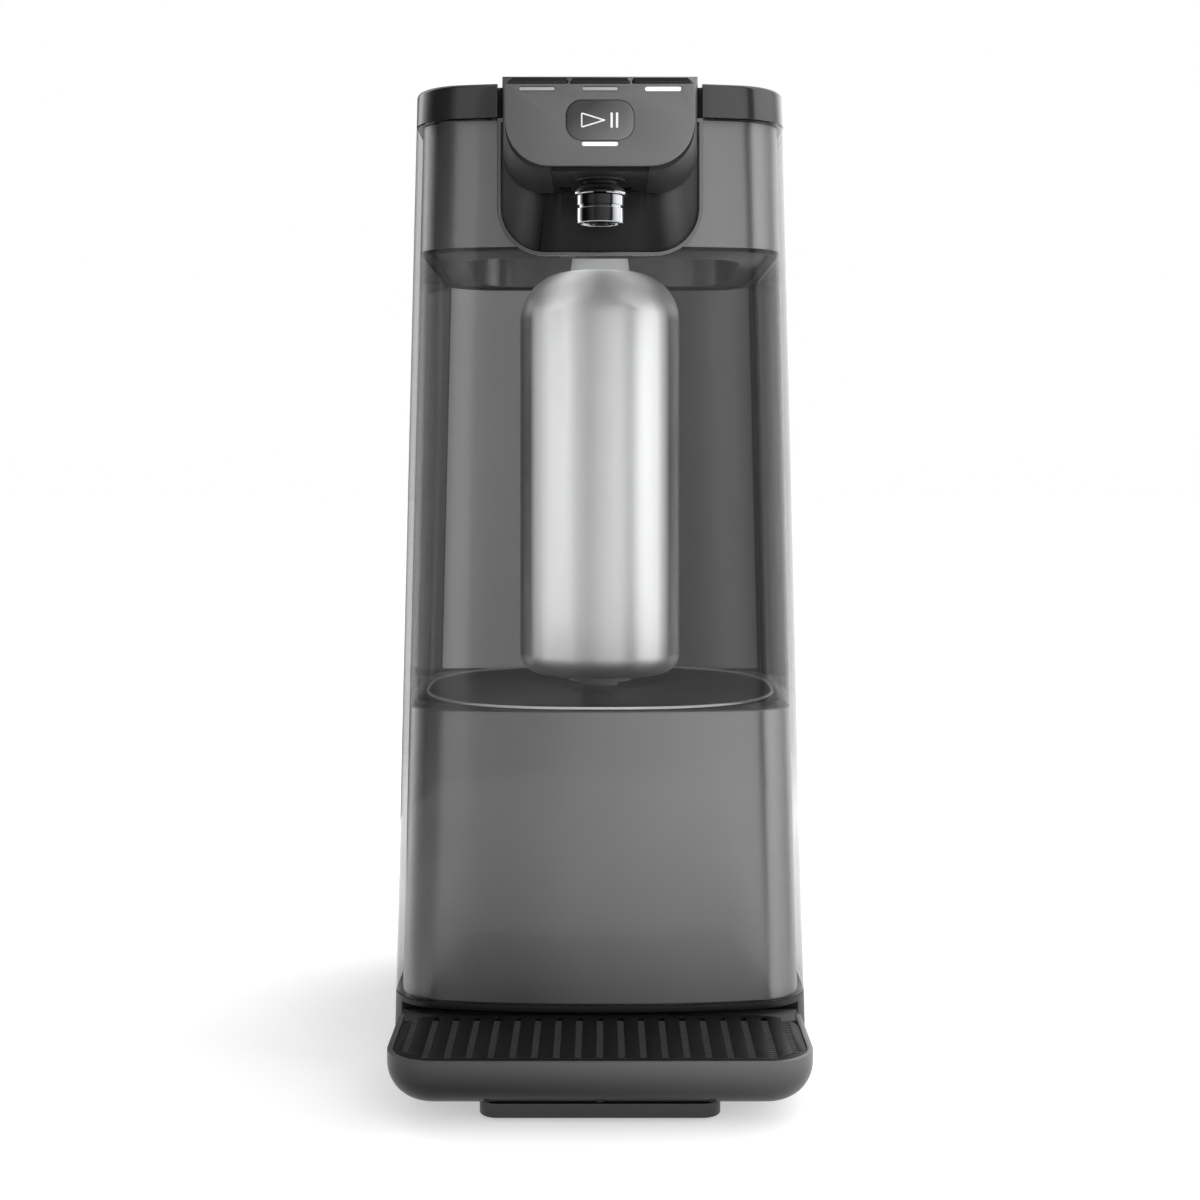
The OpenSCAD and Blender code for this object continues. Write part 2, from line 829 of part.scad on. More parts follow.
module lid_hinge_pin() {
    color(steel) translate([-26.5, hinge_y, hinge_z]) rotate([0, 90, 0]) cylinder(r = pin_r, h = 53);
}

// ---------- filter ----------

canister_low = tank_floor_top + 3;
canister_top = 285.6;
shoulder_r = 19;
canister_foot_r = 8;

module filter_canister() {
    color(steel) translate([0, filter_y, 0]) rotate_extrude() {
        translate([0, canister_low + canister_foot_r])
            square([canister_r, canister_top - shoulder_r - canister_low - canister_foot_r]);
        translate([0, canister_low]) square([canister_r - canister_foot_r, 20]);
        translate([canister_r - canister_foot_r, canister_low + canister_foot_r]) circle(r = canister_foot_r);
        translate([0, canister_top - shoulder_r - 1]) square([canister_r - shoulder_r, shoulder_r + 1]);
        intersection() {
            translate([canister_r - shoulder_r, canister_top - shoulder_r]) circle(r = shoulder_r);
            translate([0, canister_top - shoulder_r - 1]) square([canister_r, shoulder_r + 1]);
        }
    }
}

module filter_neck() {
    color(pale) translate([0, filter_y, canister_top]) {
        cylinder(r1 = 11.3, r2 = 10.2, h = 9);
        translate([0, 0, 9]) cylinder(r = 10.2, h = 5);
        difference() {
            translate([-2.5, -10, 14]) cube([5, 20, 8]);
            translate([-3, 0, 16]) rotate([0, 90, 0]) cylinder(r = 1.2, h = 6);
        }
    }
}

nipple_r = 7.04;

module filter_nipple() {
    color(pale) translate([0, filter_y, 0]) difference() {
        union() {
            translate([0, 0, deck_top - 10]) cylinder(r = nipple_r, h = canister_low - deck_top + 10);
            translate([0, 0, tank_floor_top + 0.4]) cylinder(r = 12, h = canister_low - tank_floor_top - 0.4);
        }
        translate([0, 0, deck_top - 11]) cylinder(r = 3, h = 12);
        difference() {
            translate([0, 0, deck_top - 6]) cylinder(r = 9, h = 2.2);
            translate([0, 0, deck_top - 7]) cylinder(r = 5, h = 5);
        }
    }
}

module filter_o_ring() {
    color(black) translate([0, filter_y, deck_top - 4.9])
        rotate_extrude() translate([6.04, 0]) circle(r = 0.98);
}

// ---------- drip tray ----------

// Dish with a rounded lower edge at its front and sides; its back is open-ended at rear.
module dish(half_w, front, rear, low, high, corner, fillet) {
    corner_x = half_w - corner;
    corner_y = front + corner;
    for (x = [-corner_x, corner_x]) translate([x, corner_y, low])
        rotate_extrude() edge_profile(corner, high - low, fillet);
    for (side = [0, 1]) mirror([side, 0, 0]) translate([corner_x, rear, low]) rotate([90, 0, 0])
        linear_extrude(rear - corner_y) edge_profile(corner, high - low, fillet);
    translate([-corner_x, corner_y, low]) rotate([90, 0, 90]) mirror([1, 0, 0])
        linear_extrude(2 * corner_x) edge_profile(corner, high - low, fillet);
    span([-corner_x - nothing, corner_y - nothing, low], [corner_x + nothing, rear, high]);
}

module edge_profile(w, h, r) {
    square([w - r, h]);
    translate([0, r]) square([w, h - r]);
    translate([w - r, r]) intersection() {
        circle(r = r);
        translate([0, -r]) square([r, r + nothing]);
    }
}

module drip_tray() {
    color(dark) difference() {
        dish(tray_w / 2, tray_front, tray_rear, tray_bottom, tray_top, tray_corner_r, tray_fillet);
        difference() {
            dish(tray_w / 2 - tray_wall, tray_front + tray_wall, tray_rear - tray_wall,
                 tray_bottom + 2, tray_top + 1, tray_corner_r - tray_wall, tray_fillet - tray_wall);
            // ribs that carry the grille
            for (x = [-36, 0, 36])
                span([x - 1, tray_front, tray_bottom], [x + 1, tray_rear, tray_top - grille_t - 0.5]);
            // shelf behind the grille, under the base's front lip
            span([-tray_w / 2, front_y - 0.4, tray_top - 2.2], [tray_w / 2, tray_rear, tray_top + 2]);
        }
    }
}

module grille() {
    inset = tray_wall + gap;
    row_pitch = (tray_w - 2 * inset - 8) / (hole_rows - 1);
    hole_pitch = 4;
    grille_len = front_y - 0.4 - gap - tray_front - inset;
    color(black) translate([0, 0, tray_top - grille_t - 0.3]) linear_extrude(grille_t) difference() {
        translate([0, tray_front + inset + grille_len / 2])
            round_rect(tray_w - 2 * inset, grille_len, tray_corner_r - inset);
        for (i = [0 : hole_rows - 1], j = [0 : holes_per_row - 1])
            translate([(i - (hole_rows - 1) / 2) * row_pitch, tray_front + 7 + j * hole_pitch])
                circle(r = 0.6);
    }
}

front_pad();
rear_feet();
front_foot();
base_pan();
base_screws();
front_shell();
rear_cover();
rear_screws();
cable_gland();
lower_housing();
tank();
tank_gasket();
back_panel();
upper_collar();
bay_cover();
tank_fitting();
pump_motor();
pump_head();
pump_cradle();
heater();
heater_clips();
power_board();
power_parts();
suction_hose();
feed_hose();
riser_hose();
dispense_valve();
spout_hose();
spout_panel();
panel_bead();
head_shell();
head_cover();
head_face();
head_screws();
control_board();
mode_switches();
face_board();
play_switch();
light_bar_left();
light_bar_centre();
light_bar_right();
play_light_bar();
spout_neck();
spout_collar();
spout_barrel();
aerator();
mode_button_left();
mode_button_centre();
mode_button_right();
play_button();
lid();
lid_seal();
lid_hinge_pin();
filter_canister();
filter_neck();
filter_nipple();
filter_o_ring();
drip_tray();
grille();
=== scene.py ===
"""Dressed model of a slim countertop water dispenser.

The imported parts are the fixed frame. Each sub-assembly is a class that holds its
sizes and builds its own meshes, and each finish is a small frozen dataclass.
"""

import json
import logging
import math
from dataclasses import dataclass, field
from enum import Enum
from typing import Any, Callable, Iterable, Optional, Sequence

import bmesh
import bpy
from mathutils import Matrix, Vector


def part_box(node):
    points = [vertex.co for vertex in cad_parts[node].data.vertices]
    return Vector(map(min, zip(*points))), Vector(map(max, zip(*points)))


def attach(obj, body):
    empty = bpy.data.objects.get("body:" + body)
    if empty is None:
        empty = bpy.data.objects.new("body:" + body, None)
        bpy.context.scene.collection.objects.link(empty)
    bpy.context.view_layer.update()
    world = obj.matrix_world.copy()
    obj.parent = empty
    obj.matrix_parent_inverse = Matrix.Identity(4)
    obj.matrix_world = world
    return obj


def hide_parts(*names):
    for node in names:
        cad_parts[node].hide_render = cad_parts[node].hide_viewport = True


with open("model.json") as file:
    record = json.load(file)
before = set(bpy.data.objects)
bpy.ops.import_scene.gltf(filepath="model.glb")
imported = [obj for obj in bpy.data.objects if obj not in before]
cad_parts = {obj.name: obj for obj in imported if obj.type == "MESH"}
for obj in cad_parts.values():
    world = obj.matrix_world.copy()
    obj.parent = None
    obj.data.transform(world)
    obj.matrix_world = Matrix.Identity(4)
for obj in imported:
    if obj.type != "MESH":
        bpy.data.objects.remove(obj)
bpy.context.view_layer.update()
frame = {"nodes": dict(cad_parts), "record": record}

MM = 0.001
MERGE = 1e-6  # points closer than this are one
NEAR = 1e-5  # reach of a pick by place
SQUARE_ON = 0.9  # least share of a direction that counts as along its axis
RING_POWER = 2.6  # of the rounded ring on the deck, between an ellipse and a box
BOW_R = 260 * MM  # of the column's bowed front
WHITE = (1.0, 1.0, 1.0)
BLACK = (0.0, 0.0, 0.0)
ALONG_Z = (0, 0, 1)
log = logging.getLogger("dispenser")

Place = tuple[float, float, float]
Test = Callable[[Vector, Vector], bool]


def middle(node: str) -> Vector:
    """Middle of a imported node's box."""
    low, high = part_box(node)
    return (low + high) / 2


# ---------------------------------------------------------------- shader tools


class Wire:
    """An output socket that can be used in sums."""

    def __init__(self, net: "Net", socket: bpy.types.NodeSocket) -> None:
        """Keeps the socket and the net that it belongs to."""
        self.net = net
        self.socket = socket

    def _maths(self, operation: str, first: Any, second: Any = None) -> "Wire":
        """Adds one Math node.

        Args:
            operation: name of the Math node's operation.
            first: its first value or wire.
            second: its second value or wire, if it takes one.

        Returns:
            The result as a wire.
        """
        values = {0: first} if second is None else {0: first, 1: second}
        return self.net.add("ShaderNodeMath", {"operation": operation}, values)

    def __add__(self, other: Any) -> "Wire":
        """Sum."""
        return self._maths("ADD", self, other)

    __radd__ = __add__

    def __sub__(self, other: Any) -> "Wire":
        """Difference."""
        return self._maths("SUBTRACT", self, other)

    def __rsub__(self, other: Any) -> "Wire":
        """Difference from a plain number."""
        return self._maths("SUBTRACT", other, self)

    def __mul__(self, other: Any) -> "Wire":
        """Product."""
        return self._maths("MULTIPLY", self, other)

    def __truediv__(self, other: Any) -> "Wire":
        """Quotient."""
        return self._maths("DIVIDE", self, other)

    def __pow__(self, other: Any) -> "Wire":
        """Power."""
        return self._maths("POWER", self, other)

    def __gt__(self, other: Any) -> "Wire":
        """1 where it is greater, else 0."""
        return self._maths("GREATER_THAN", self, other)

    def __lt__(self, other: Any) -> "Wire":
        """1 where it is less, else 0."""
        return self._maths("LESS_THAN", self, other)

    def heading(self, ahead: "Wire") -> "Wire":
        """Angle in radians of the direction that has this sideways and ahead forwards."""
        return self._maths("ARCTAN2", self, ahead)

    def size(self) -> "Wire":
        """Its value without its sign."""
        return self._maths("ABSOLUTE", self)

    def wave(self) -> "Wire":
        """Distance to the nearest whole number, 0 to 0.5."""
        return self._maths("PINGPONG", self, 0.5)

    def limited(self) -> "Wire":
        """Held between 0 and 1."""
        return self.net.add("ShaderNodeClamp", {}, {0: self})


class Net:
    """Builder for one node tree."""

    def __init__(self, tree: bpy.types.NodeTree) -> None:
        """Empties the tree and starts on it."""
        self.tree = tree
        tree.nodes.clear()

    def add(
        self,
        kind: str,
        settings: Optional[dict[str, Any]] = None,
        inputs: Optional[dict[Any, Any]] = None,
        output: Any = 0,
    ) -> Wire:
        """Adds a node of any type.

        Args:
            kind: the node's type.
            settings: its own settings, or "stops" for a ramp, made first.
            inputs: values or wires for its sockets, by number or name.
            output: which output is returned.

        Returns:
            The chosen output as a wire.
        """
        node = self.tree.nodes.new(kind)
        for name, value in (settings or {}).items():
            if name == "stops":
                self._stops(node.color_ramp, value)
            else:
                setattr(node, name, value)
        for name, value in (inputs or {}).items():
            socket = node.inputs[name]
            if isinstance(value, Wire):
                self.tree.links.new(value.socket, socket)
            else:
                socket.default_value = value
        return Wire(self, node.outputs[output]) if node.outputs else Wire(self, None)

    @staticmethod
    def _stops(ramp: bpy.types.ColorRamp, stops: Sequence[tuple[float, float]]) -> None:
        """Sets a ramp's stops, each a place and a grey."""
        while len(ramp.elements) < len(stops):
            ramp.elements.new(0.5)
        for element, (place, grey) in zip(ramp.elements, stops):
            element.position = place
            element.color = (grey, grey, grey, 1.0)

    def place(self) -> Wire:
        """Object coordinates in metres."""
        return self.add("ShaderNodeTexCoord", output="Object")

    def parts(self) -> tuple[Wire, Wire, Wire]:
        """Object coordinates as three numbers."""
        place = self.place()
        return tuple(self.add("ShaderNodeSeparateXYZ", {}, {0: place}, i) for i in range(3))

    def facing(self) -> Wire:
        """How far the surface looks up, from -1 to 1."""
        way = self.add("ShaderNodeTexCoord", output="Normal")
        return self.add("ShaderNodeSeparateXYZ", {}, {0: way}, 2)

    def slant(self, blend: float = 0.5) -> Wire:
        """How far the surface turns away from the eye, from 0 to 1."""
        return self.add("ShaderNodeLayerWeight", {}, {"Blend": blend}, "Facing")

    def noise(self, scale: float, detail: float = 2.0, stretch: Place = (1, 1, 1)) -> Wire:
        """Noise on object coordinates.

        Args:
            scale: grains a metre.
            detail: octaves.
            stretch: factors for x, y and z, where a small one draws it out.

        Returns:
            Noise from 0 to 1.
        """
        place = self.place()
        if stretch != (1, 1, 1):
            place = self.add("ShaderNodeMapping", {}, {"Vector": place, "Scale": stretch})
        inputs = {"Vector": place, "Scale": scale, "Detail": detail}
        return self.add("ShaderNodeTexNoise", {}, inputs)

    def mixed(self, share: Any, one: Any, two: Any) -> Wire:
        """Mix of two colours.

        Args:
            share: how much of the second, 0 to 1.
            one: colour or wire.
            two: colour or wire.

        Returns:
            The mixed colour.
        """
        one, two = (c if isinstance(c, Wire) else (*c, 1.0) for c in (one, two))
        inputs = {0: share, 6: one, 7: two}
        return self.add("ShaderNodeMix", {"data_type": "RGBA"}, inputs, 2)


def new_material(name: str) -> tuple[bpy.types.Material, Net]:
    """An empty material and the builder for its nodes."""
    made = bpy.data.materials.new(name)
    made.use_nodes = True
    return made, Net(made.node_tree)


# -------------------------------------------------------------------- finishes


@dataclass(frozen=True)
class Finish:
    """A surface finish made of one Principled shader with fine procedural detail.

    Sizes of grain are in grains a metre, and heights are in metres. A drawn finish
    smears its reflections up and down.
    """

    name: str
    colour: tuple[float, float, float]
    roughness: float
    metallic: float = 0.0
    coat: float = 0.0
    coat_roughness: float = 0.03
    specular: float = 0.5
    shade_play: float = 0.12
    rough_play: float = 0.06
    cloud: float = 60.0
    grain: float = 2600.0
    grain_height: float = 0.00002
    stretch: Place = (1.0, 1.0, 1.0)
    drawn: float = 0.0

    def material(self) -> bpy.types.Material:
        """The finish as a Blender material, made once."""
        name = f"{self.name}_finish"
        found = bpy.data.materials.get(name)
        if found is not None:
            return found
        made, net = new_material(name)
        net.add("ShaderNodeOutputMaterial", {}, {"Surface": self.surface(net)})
        return made

    def toned(self, factor: float) -> Place:
        """The finish's colour, darker or lighter by a factor."""
        return tuple(min(1.0, c * factor) for c in self.colour)

    def shade(self, net: Net) -> Wire:
        """Colour, a little lighter and darker in broad clouds and fine grain."""
        broad = net.noise(self.cloud, 3.0)
        fine = net.noise(self.grain, 1.0, self.stretch)
        share = (broad * 0.55 + fine * 0.45).limited()
        return net.mixed(share, self.toned(1 - self.shade_play), self.toned(1 + self.shade_play))

    def marks(self, net: Net) -> Wire:
        """Faint handling marks, 0 to 1."""
        return net.noise(self.cloud * 0.6, 4.0)

    def roughness_map(self, net: Net) -> Wire:
        """Roughness that plays about its own value with the marks."""
        return (self.marks(net) - 0.5) * (2 * self.rough_play) + self.roughness

    def relief(self, net: Net) -> Wire:
        """Height of the grain, 0 to 1."""
        return net.noise(self.grain, 2.0, self.stretch)

    def bumped(self, net: Net) -> Wire:
        """Normal with the grain's relief."""
        inputs = {"Strength": 1.0, "Distance": self.grain_height, "Height": self.relief(net)}
        return net.add("ShaderNodeBump", {}, inputs)

    def extras(self, net: Net) -> dict[str, Any]:
        """More sockets of the shader, for a finish that needs them."""
        return {}

    def surface(self, net: Net) -> Wire:
        """The finished shader."""
        inputs = {
            "Base Color": self.shade(net),
            "Roughness": self.roughness_map(net),
            "Metallic": self.metallic,
            "Specular IOR Level": self.specular,
            "Coat Weight": self.coat,
            "Coat Roughness": self.coat_roughness,
            "Anisotropic": self.drawn,
            "Anisotropic Rotation": 0.25,
            "Normal": self.bumped(net),
        }
        inputs.update(self.extras(net))
        return net.add("ShaderNodeBsdfPrincipled", {}, inputs)


@dataclass(frozen=True)
class ClearFinish(Finish):
    """See-through moulding: clear head on, and closing up towards its edges."""

    body: float = 0.25
    edge: float = 0.85
    closing: float = 2.5

    def extras(self, net: Net) -> dict[str, Any]:
        """Alpha that rises where the wall is seen at a slant."""
        slant = net.slant(0.35) ** self.closing
        return {"Alpha": (slant * (self.edge - self.body) + self.body).limited()}


@dataclass(frozen=True)
class LitFinish(Finish):
    """Frosted light guide, lit or dark."""

    glow: float = 0.0

    def extras(self, net: Net) -> dict[str, Any]:
        """Light with a faintly specked tint, as from a frosted moulding."""
        if self.glow == 0:
            return {}
        tint = net.mixed(net.noise(900.0, 1.0), (0.93, 0.94, 0.96), WHITE)
        return {"Emission Color": tint, "Emission Strength": self.glow}


@dataclass(frozen=True)
class PaintedLightFinish(Finish):
    """Finish with painted light and shade, which runs from one tone to another across a piece.

    The tone runs along a slanted line through a middle, from dark behind it to light
    ahead of it, over a reach in metres.
    """

    light: tuple[float, float, float] = (0.2, 0.2, 0.2)
    middle: Place = (0.0, 0.0, 0.0)
    along: Place = (1.0, 0.0, 0.0)
    reach: float = 0.01

    def shade(self, net: Net) -> Wire:
        """Painted shade that blends into a painted lighter tone."""
        share = sum((axis - m) * a for axis, m, a in zip(net.parts(), self.middle, self.along))
        return net.mixed((share / self.reach + 0.5).limited(), super().shade(net), self.light)


@dataclass(frozen=True)
class PaintedFacetFinish(Finish):
    """Gloss with painted reflections: its two sides beyond slanted creases are painted lighter
    than its middle.
    """

    foot_z: float = 0.0
    crease: float = 0.0205
    lean: float = 0.12
    height: float = 0.046
    side: float = 0.2
    width: float = 0.03
    tones: tuple[tuple[float, float], ...] = (
        (0.0, 0.22), (0.3, 0.3), (0.42, 0.1), (0.48, 0.06), (0.56, 0.2), (0.66, 0.8),
        (0.74, 1.0), (0.86, 0.62), (1.0, 0.55),
    )

    def shade(self, net: Net) -> Wire:
        """Painted reflection: deep middle, a line of painted shade along each crease, and painted
        light on the sides that fades downwards.
        """
        x, _, z = net.parts()
        rise = (z - self.foot_z) / self.height
        beyond = (x.size() - self.crease + (z - self.foot_z) * self.lean) / self.width
        tone = net.add("ShaderNodeValToRGB", {"stops": self.tones}, {0: beyond + 0.5})
        # painted light on the sides, stronger towards the top
        light = (rise * 0.75 + 0.25).limited() * self.side
        return net.mixed(tone, BLACK, net.mixed(light, BLACK, WHITE))


@dataclass(frozen=True)
class LinerFinish(Finish):
    """Metallic liner whose ledges are matt: painted shade on its downward faces, and dark on the
    deck inside its ring.
    """

    ring: tuple[float, float, float, float] = (0.0, 0.0, 1.0, 1.0)
    dark: float = 0.012
    ledge: float = 0.16
    under: float = 0.03
    level: float = 0.8

    def inside(self, net: Net) -> Wire:
        """1 inside the ring on the deck, else 0."""
        x, y, _ = net.parts()
        x_mid, y_mid, half, depth = self.ring
        across = ((x - x_mid).size() / half) ** RING_POWER
        return (across + ((y - y_mid).size() / depth) ** RING_POWER) < 1.0

    def shade(self, net: Net) -> Wire:
        """Metal tone on the walls, the ledges' own tone, and painted shade on the undersides."""
        up = net.facing()
        top = net.mixed(self.inside(net), (self.ledge,) * 3, (self.dark,) * 3)
        walls = net.mixed((up > self.level).limited(), super().shade(net), top)
        # painted shade on faces that look down
        return net.mixed((up < -self.level).limited(), walls, (self.under,) * 3)

    def extras(self, net: Net) -> dict[str, Any]:
        """Bare metal only on the walls."""
        return {"Metallic": net.facing().size() < self.level}


@dataclass(frozen=True)
class BrushedFinish(Finish):
    """Metal with fine lines drawn along z, and painted shade where it turns away from the eye."""

    line: float = 5200.0
    painted_edge_shade: float = 0.025
    side_start: float = 0.31
    side_reach: float = 0.2
    upright: float = 1.6

    def shade(self, net: Net) -> Wire:
        """Metal tone with painted shade at its upright sides."""
        # painted shade: the upright sides darken as they turn from the eye
        level = (1.0 - net.facing().size() * self.upright).limited()
        side = ((net.slant() - self.side_start) / self.side_reach).limited() * level
        return net.mixed(side, super().shade(net), self.toned(self.painted_edge_shade))

    def relief(self, net: Net) -> Wire:
        """Long fine lines."""
        return net.noise(self.line, 2.0, (1.0, 1.0, 0.02))

    def marks(self, net: Net) -> Wire:
        """The same lines."""
        return self.relief(net)


@dataclass(frozen=True)
class PolishedFinish(Finish):
    """Dark-bodied polished plating with a painted reflection: dark face on, and bright where it
    turns away.
    """

    painted_face_on_tone: float = 0.05
    side_start: float = 0.08
    side_reach: float = 0.4

    def shade(self, net: Net) -> Wire:
        """Painted reflection: deep tone face on and bright sides."""
        side = ((net.slant() - self.side_start) / self.side_reach).limited()
        return net.mixed(side, self.toned(self.painted_face_on_tone), super().shade(net))


@dataclass(frozen=True)
class BoardFinish(Finish):
    """Circuit board with plain tracks and pads."""

    pitch: float = 0.0032
    track: tuple[float, float, float] = (0.06, 0.26, 0.12)

    def shade(self, net: Net) -> Wire:
        """Green mask with lighter tracks in both directions."""
        x, y, z = net.parts()
        across = (x / self.pitch).wave() < 0.07
        along = ((z + y) / self.pitch).wave() < 0.05
        patch = net.noise(140.0, 0.0) > 0.5
        share = (across * patch + along * (1 - patch)).limited()
        return net.mixed(share, self.colour, self.track)


class Slot(Enum):
    """Finish of each of the record's material slots."""

    SMOKED_CLEAR = ClearFinish(
        "smoked_clear", (0.022, 0.022, 0.024), 0.04, specular=1.0, coat=0.6,
        rough_play=0.01, grain=900.0, grain_height=0.0000004, shade_play=0.2,
        body=0.10, edge=1.0,
    )
    TANK_CLEAR = ClearFinish(
        "tank_clear", (0.12, 0.12, 0.125), 0.08, rough_play=0.02,
        grain_height=0.000001, body=0.05, edge=0.4,
    )
    GLOSS_BLACK = Finish(
        "gloss_black", (0.018, 0.018, 0.019), 0.09, coat=0.3, rough_play=0.03,
        shade_play=0.25, grain=1500.0, grain_height=0.000001,
    )
    SATIN_GREY = Finish(
        "satin_grey", (0.2, 0.2, 0.205), 0.42, grain=3400.0, grain_height=0.00003,
    )
    SATIN_DARK = Finish(
        "satin_dark", (0.042, 0.042, 0.044), 0.36, grain=3000.0, grain_height=0.00002,
    )
    # Liner: painted shade on its downward faces.
    LINER_GREY = LinerFinish(
        "liner_grey", (0.34, 0.34, 0.345), 0.42, metallic=1.0, grain=1200.0,
        grain_height=0.000001, stretch=(1.0, 1.0, 0.05), shade_play=0.04, rough_play=0.03,
        drawn=1.0, ring=(0.0, 0.016, 0.0655, 0.07),
    )
    MATTE_BLACK = Finish(
        "matte_black", (0.009, 0.009, 0.01), 0.5, specular=0.35, grain=3200.0,
        shade_play=0.3, grain_height=0.00002,
    )
    RUBBER_BLACK = Finish(
        "rubber_black", (0.018, 0.018, 0.018), 0.75, specular=0.3, shade_play=0.3,
        grain=1900.0, grain_height=0.00006,
    )
    # Chrome: painted reflection, dark face on and bright towards its edges.
    CHROME_PAINTED_REFLECTION = PolishedFinish(
        "chrome", (0.72, 0.73, 0.75), 0.07, metallic=1.0, rough_play=0.02,
        shade_play=0.03, grain=1200.0, grain_height=0.0000005,
    )
    # Cartridge metal: painted shade on its sides where they turn from the eye.
    CANISTER_METAL_PAINTED_SHADE = BrushedFinish(
        "canister_metal", (0.92, 0.925, 0.935), 0.42, metallic=1.0, rough_play=0.04,
        shade_play=0.03, grain_height=0.000001, drawn=0.7,
    )
    STEEL = Finish(
        "steel", (0.5, 0.5, 0.52), 0.3, metallic=1.0, shade_play=0.08, grain_height=0.00001,
    )
    LIGHT_GREY = Finish(
        "light_grey", (0.5, 0.51, 0.53), 0.4, shade_play=0.06, grain_height=0.00002,
    )
    CIRCUIT_GREEN = BoardFinish("circuit_green", (0.02, 0.12, 0.05), 0.35)
    HOSE_CLEAR = ClearFinish(
        "hose_clear", (0.42, 0.43, 0.45), 0.25, body=0.75, edge=1.0, grain_height=0.00001,
    )
    LIGHT_OFF = LitFinish("light_off", (0.56, 0.565, 0.57), 0.4, shade_play=0.05)
    LIGHT_ON = LitFinish("light_on", (0.9, 0.9, 0.9), 0.4, glow=1.6, shade_play=0.02)


FINISH_OF: dict[str, Finish] = {s.value.name: s.value for s in Slot}

# Back panel: painted light, lighter towards the left as if lit from that side.
BACK_SATIN_PAINTED_LIGHT = PaintedLightFinish(
    "back_satin_painted_light", (0.3, 0.3, 0.303), 0.5, grain=2400.0, shade_play=0.05, grain_height=0.00001,
    light=(0.8, 0.8, 0.805), along=(-1.0, 0.0, 0.0), reach=0.05,
)
BLACKED_STEEL = Finish(
    "blacked_steel", (0.03, 0.03, 0.03), 0.4, metallic=1.0, grain_height=0.00001,
)
# Bead: painted shade where it turns from the eye.
BEAD_METAL_PAINTED_SHADE = BrushedFinish(
    "bead_metal_painted_shade", (0.15, 0.15, 0.152), 0.16, metallic=1.0, rough_play=0.03, shade_play=0.05,
    grain_height=0.000001, painted_edge_shade=0.05,
)
HEAD_SATIN = Finish(
    "head_satin", (0.035, 0.035, 0.037), 0.45, specular=0.15, grain=3000.0,
    grain_height=0.00002,
)
# Face plate: painted light, lighter towards the right as if lit from that side.
FACE_SATIN_PAINTED_LIGHT = PaintedLightFinish(
    "face_satin_painted_light", (0.145, 0.145, 0.148), 0.42, grain=3400.0, grain_height=0.00003,
    light=(0.2, 0.2, 0.205), reach=0.06,
)
KEY_BLACK = Finish(
    "key_black", (0.03, 0.03, 0.03), 0.6, specular=0.0, grain=2600.0, grain_height=0.00001,
)
# Tray: painted shade towards its bottom and a painted highlight towards its top edge.
TRAY_SATIN_PAINTED_LIGHT = PaintedLightFinish(
    "tray_satin_painted_light", (0.008, 0.008, 0.008), 0.34, specular=0.3, grain=3000.0,
    grain_height=0.00002, light=(0.15, 0.15, 0.153), middle=(0.0, 0.0, 0.018),
    along=(0.06, 0.0, 1.0), reach=0.014,
)
GRILLE_BLACK = Finish(
    "grille_black", (0.006, 0.006, 0.006), 0.5, specular=0.15, grain=3200.0, shade_play=0.3,
    grain_height=0.00002,
)
BASE_DARK = Finish(
    "base_dark", (0.014, 0.014, 0.015), 0.4, specular=0.3, grain=3000.0, grain_height=0.00002,
)
SIGN_LIT = LitFinish("sign_lit", (0.8, 0.8, 0.8), 0.4, glow=0.35, shade_play=0.02)
RING_GREY = Finish(
    "ring_grey", (0.62, 0.62, 0.63), 0.3, shade_play=0.04, grain_height=0.000005,
)
CAP_GLOSS = Finish(
    "cap_gloss", (0.03, 0.03, 0.032), 0.12, coat=0.15, specular=0.6, rough_play=0.03,
    shade_play=0.2, grain=1500.0, grain_height=0.000001,
)
# Play button: painted reflection, dark at the top left and lighter at the bottom right.
PLAY_GLOSS_PAINTED_REFLECTION = PaintedLightFinish(
    "play_gloss_painted_reflection", (0.035, 0.035, 0.037), 0.2, coat=0.2, rough_play=0.03, shade_play=0.1,
    grain=1500.0, grain_height=0.000001, light=(0.21, 0.21, 0.215),
    middle=(0.001, 0.0, 0.3195), along=(0.62, 0.0, -0.78), reach=0.014,
)
# Spout panel: painted reflection on its sides and painted shade along its creases.
PANEL_GLOSS_PAINTED_LIGHT = PaintedFacetFinish(
    "panel_gloss_painted_light", (0.03, 0.03, 0.03), 0.3, specular=0.2, rough_play=0.03,
    grain=1500.0, grain_height=0.000001, foot_z=0.2849,
)
NECK_GREY = Finish(
    "neck_grey", (0.78, 0.785, 0.79), 0.4, shade_play=0.05, grain_height=0.00001,
)
NODE_FINISH: dict[str, Finish] = {"back_panel": BACK_SATIN_PAINTED_LIGHT, "head_screws": BLACKED_STEEL}


# ------------------------------------------------------------------ bench work


class Pick(Enum):
    """What is selected in edit mode."""

    VERTS = (True, False, False)
    EDGES = (False, True, False)
    FACES = (False, False, True)


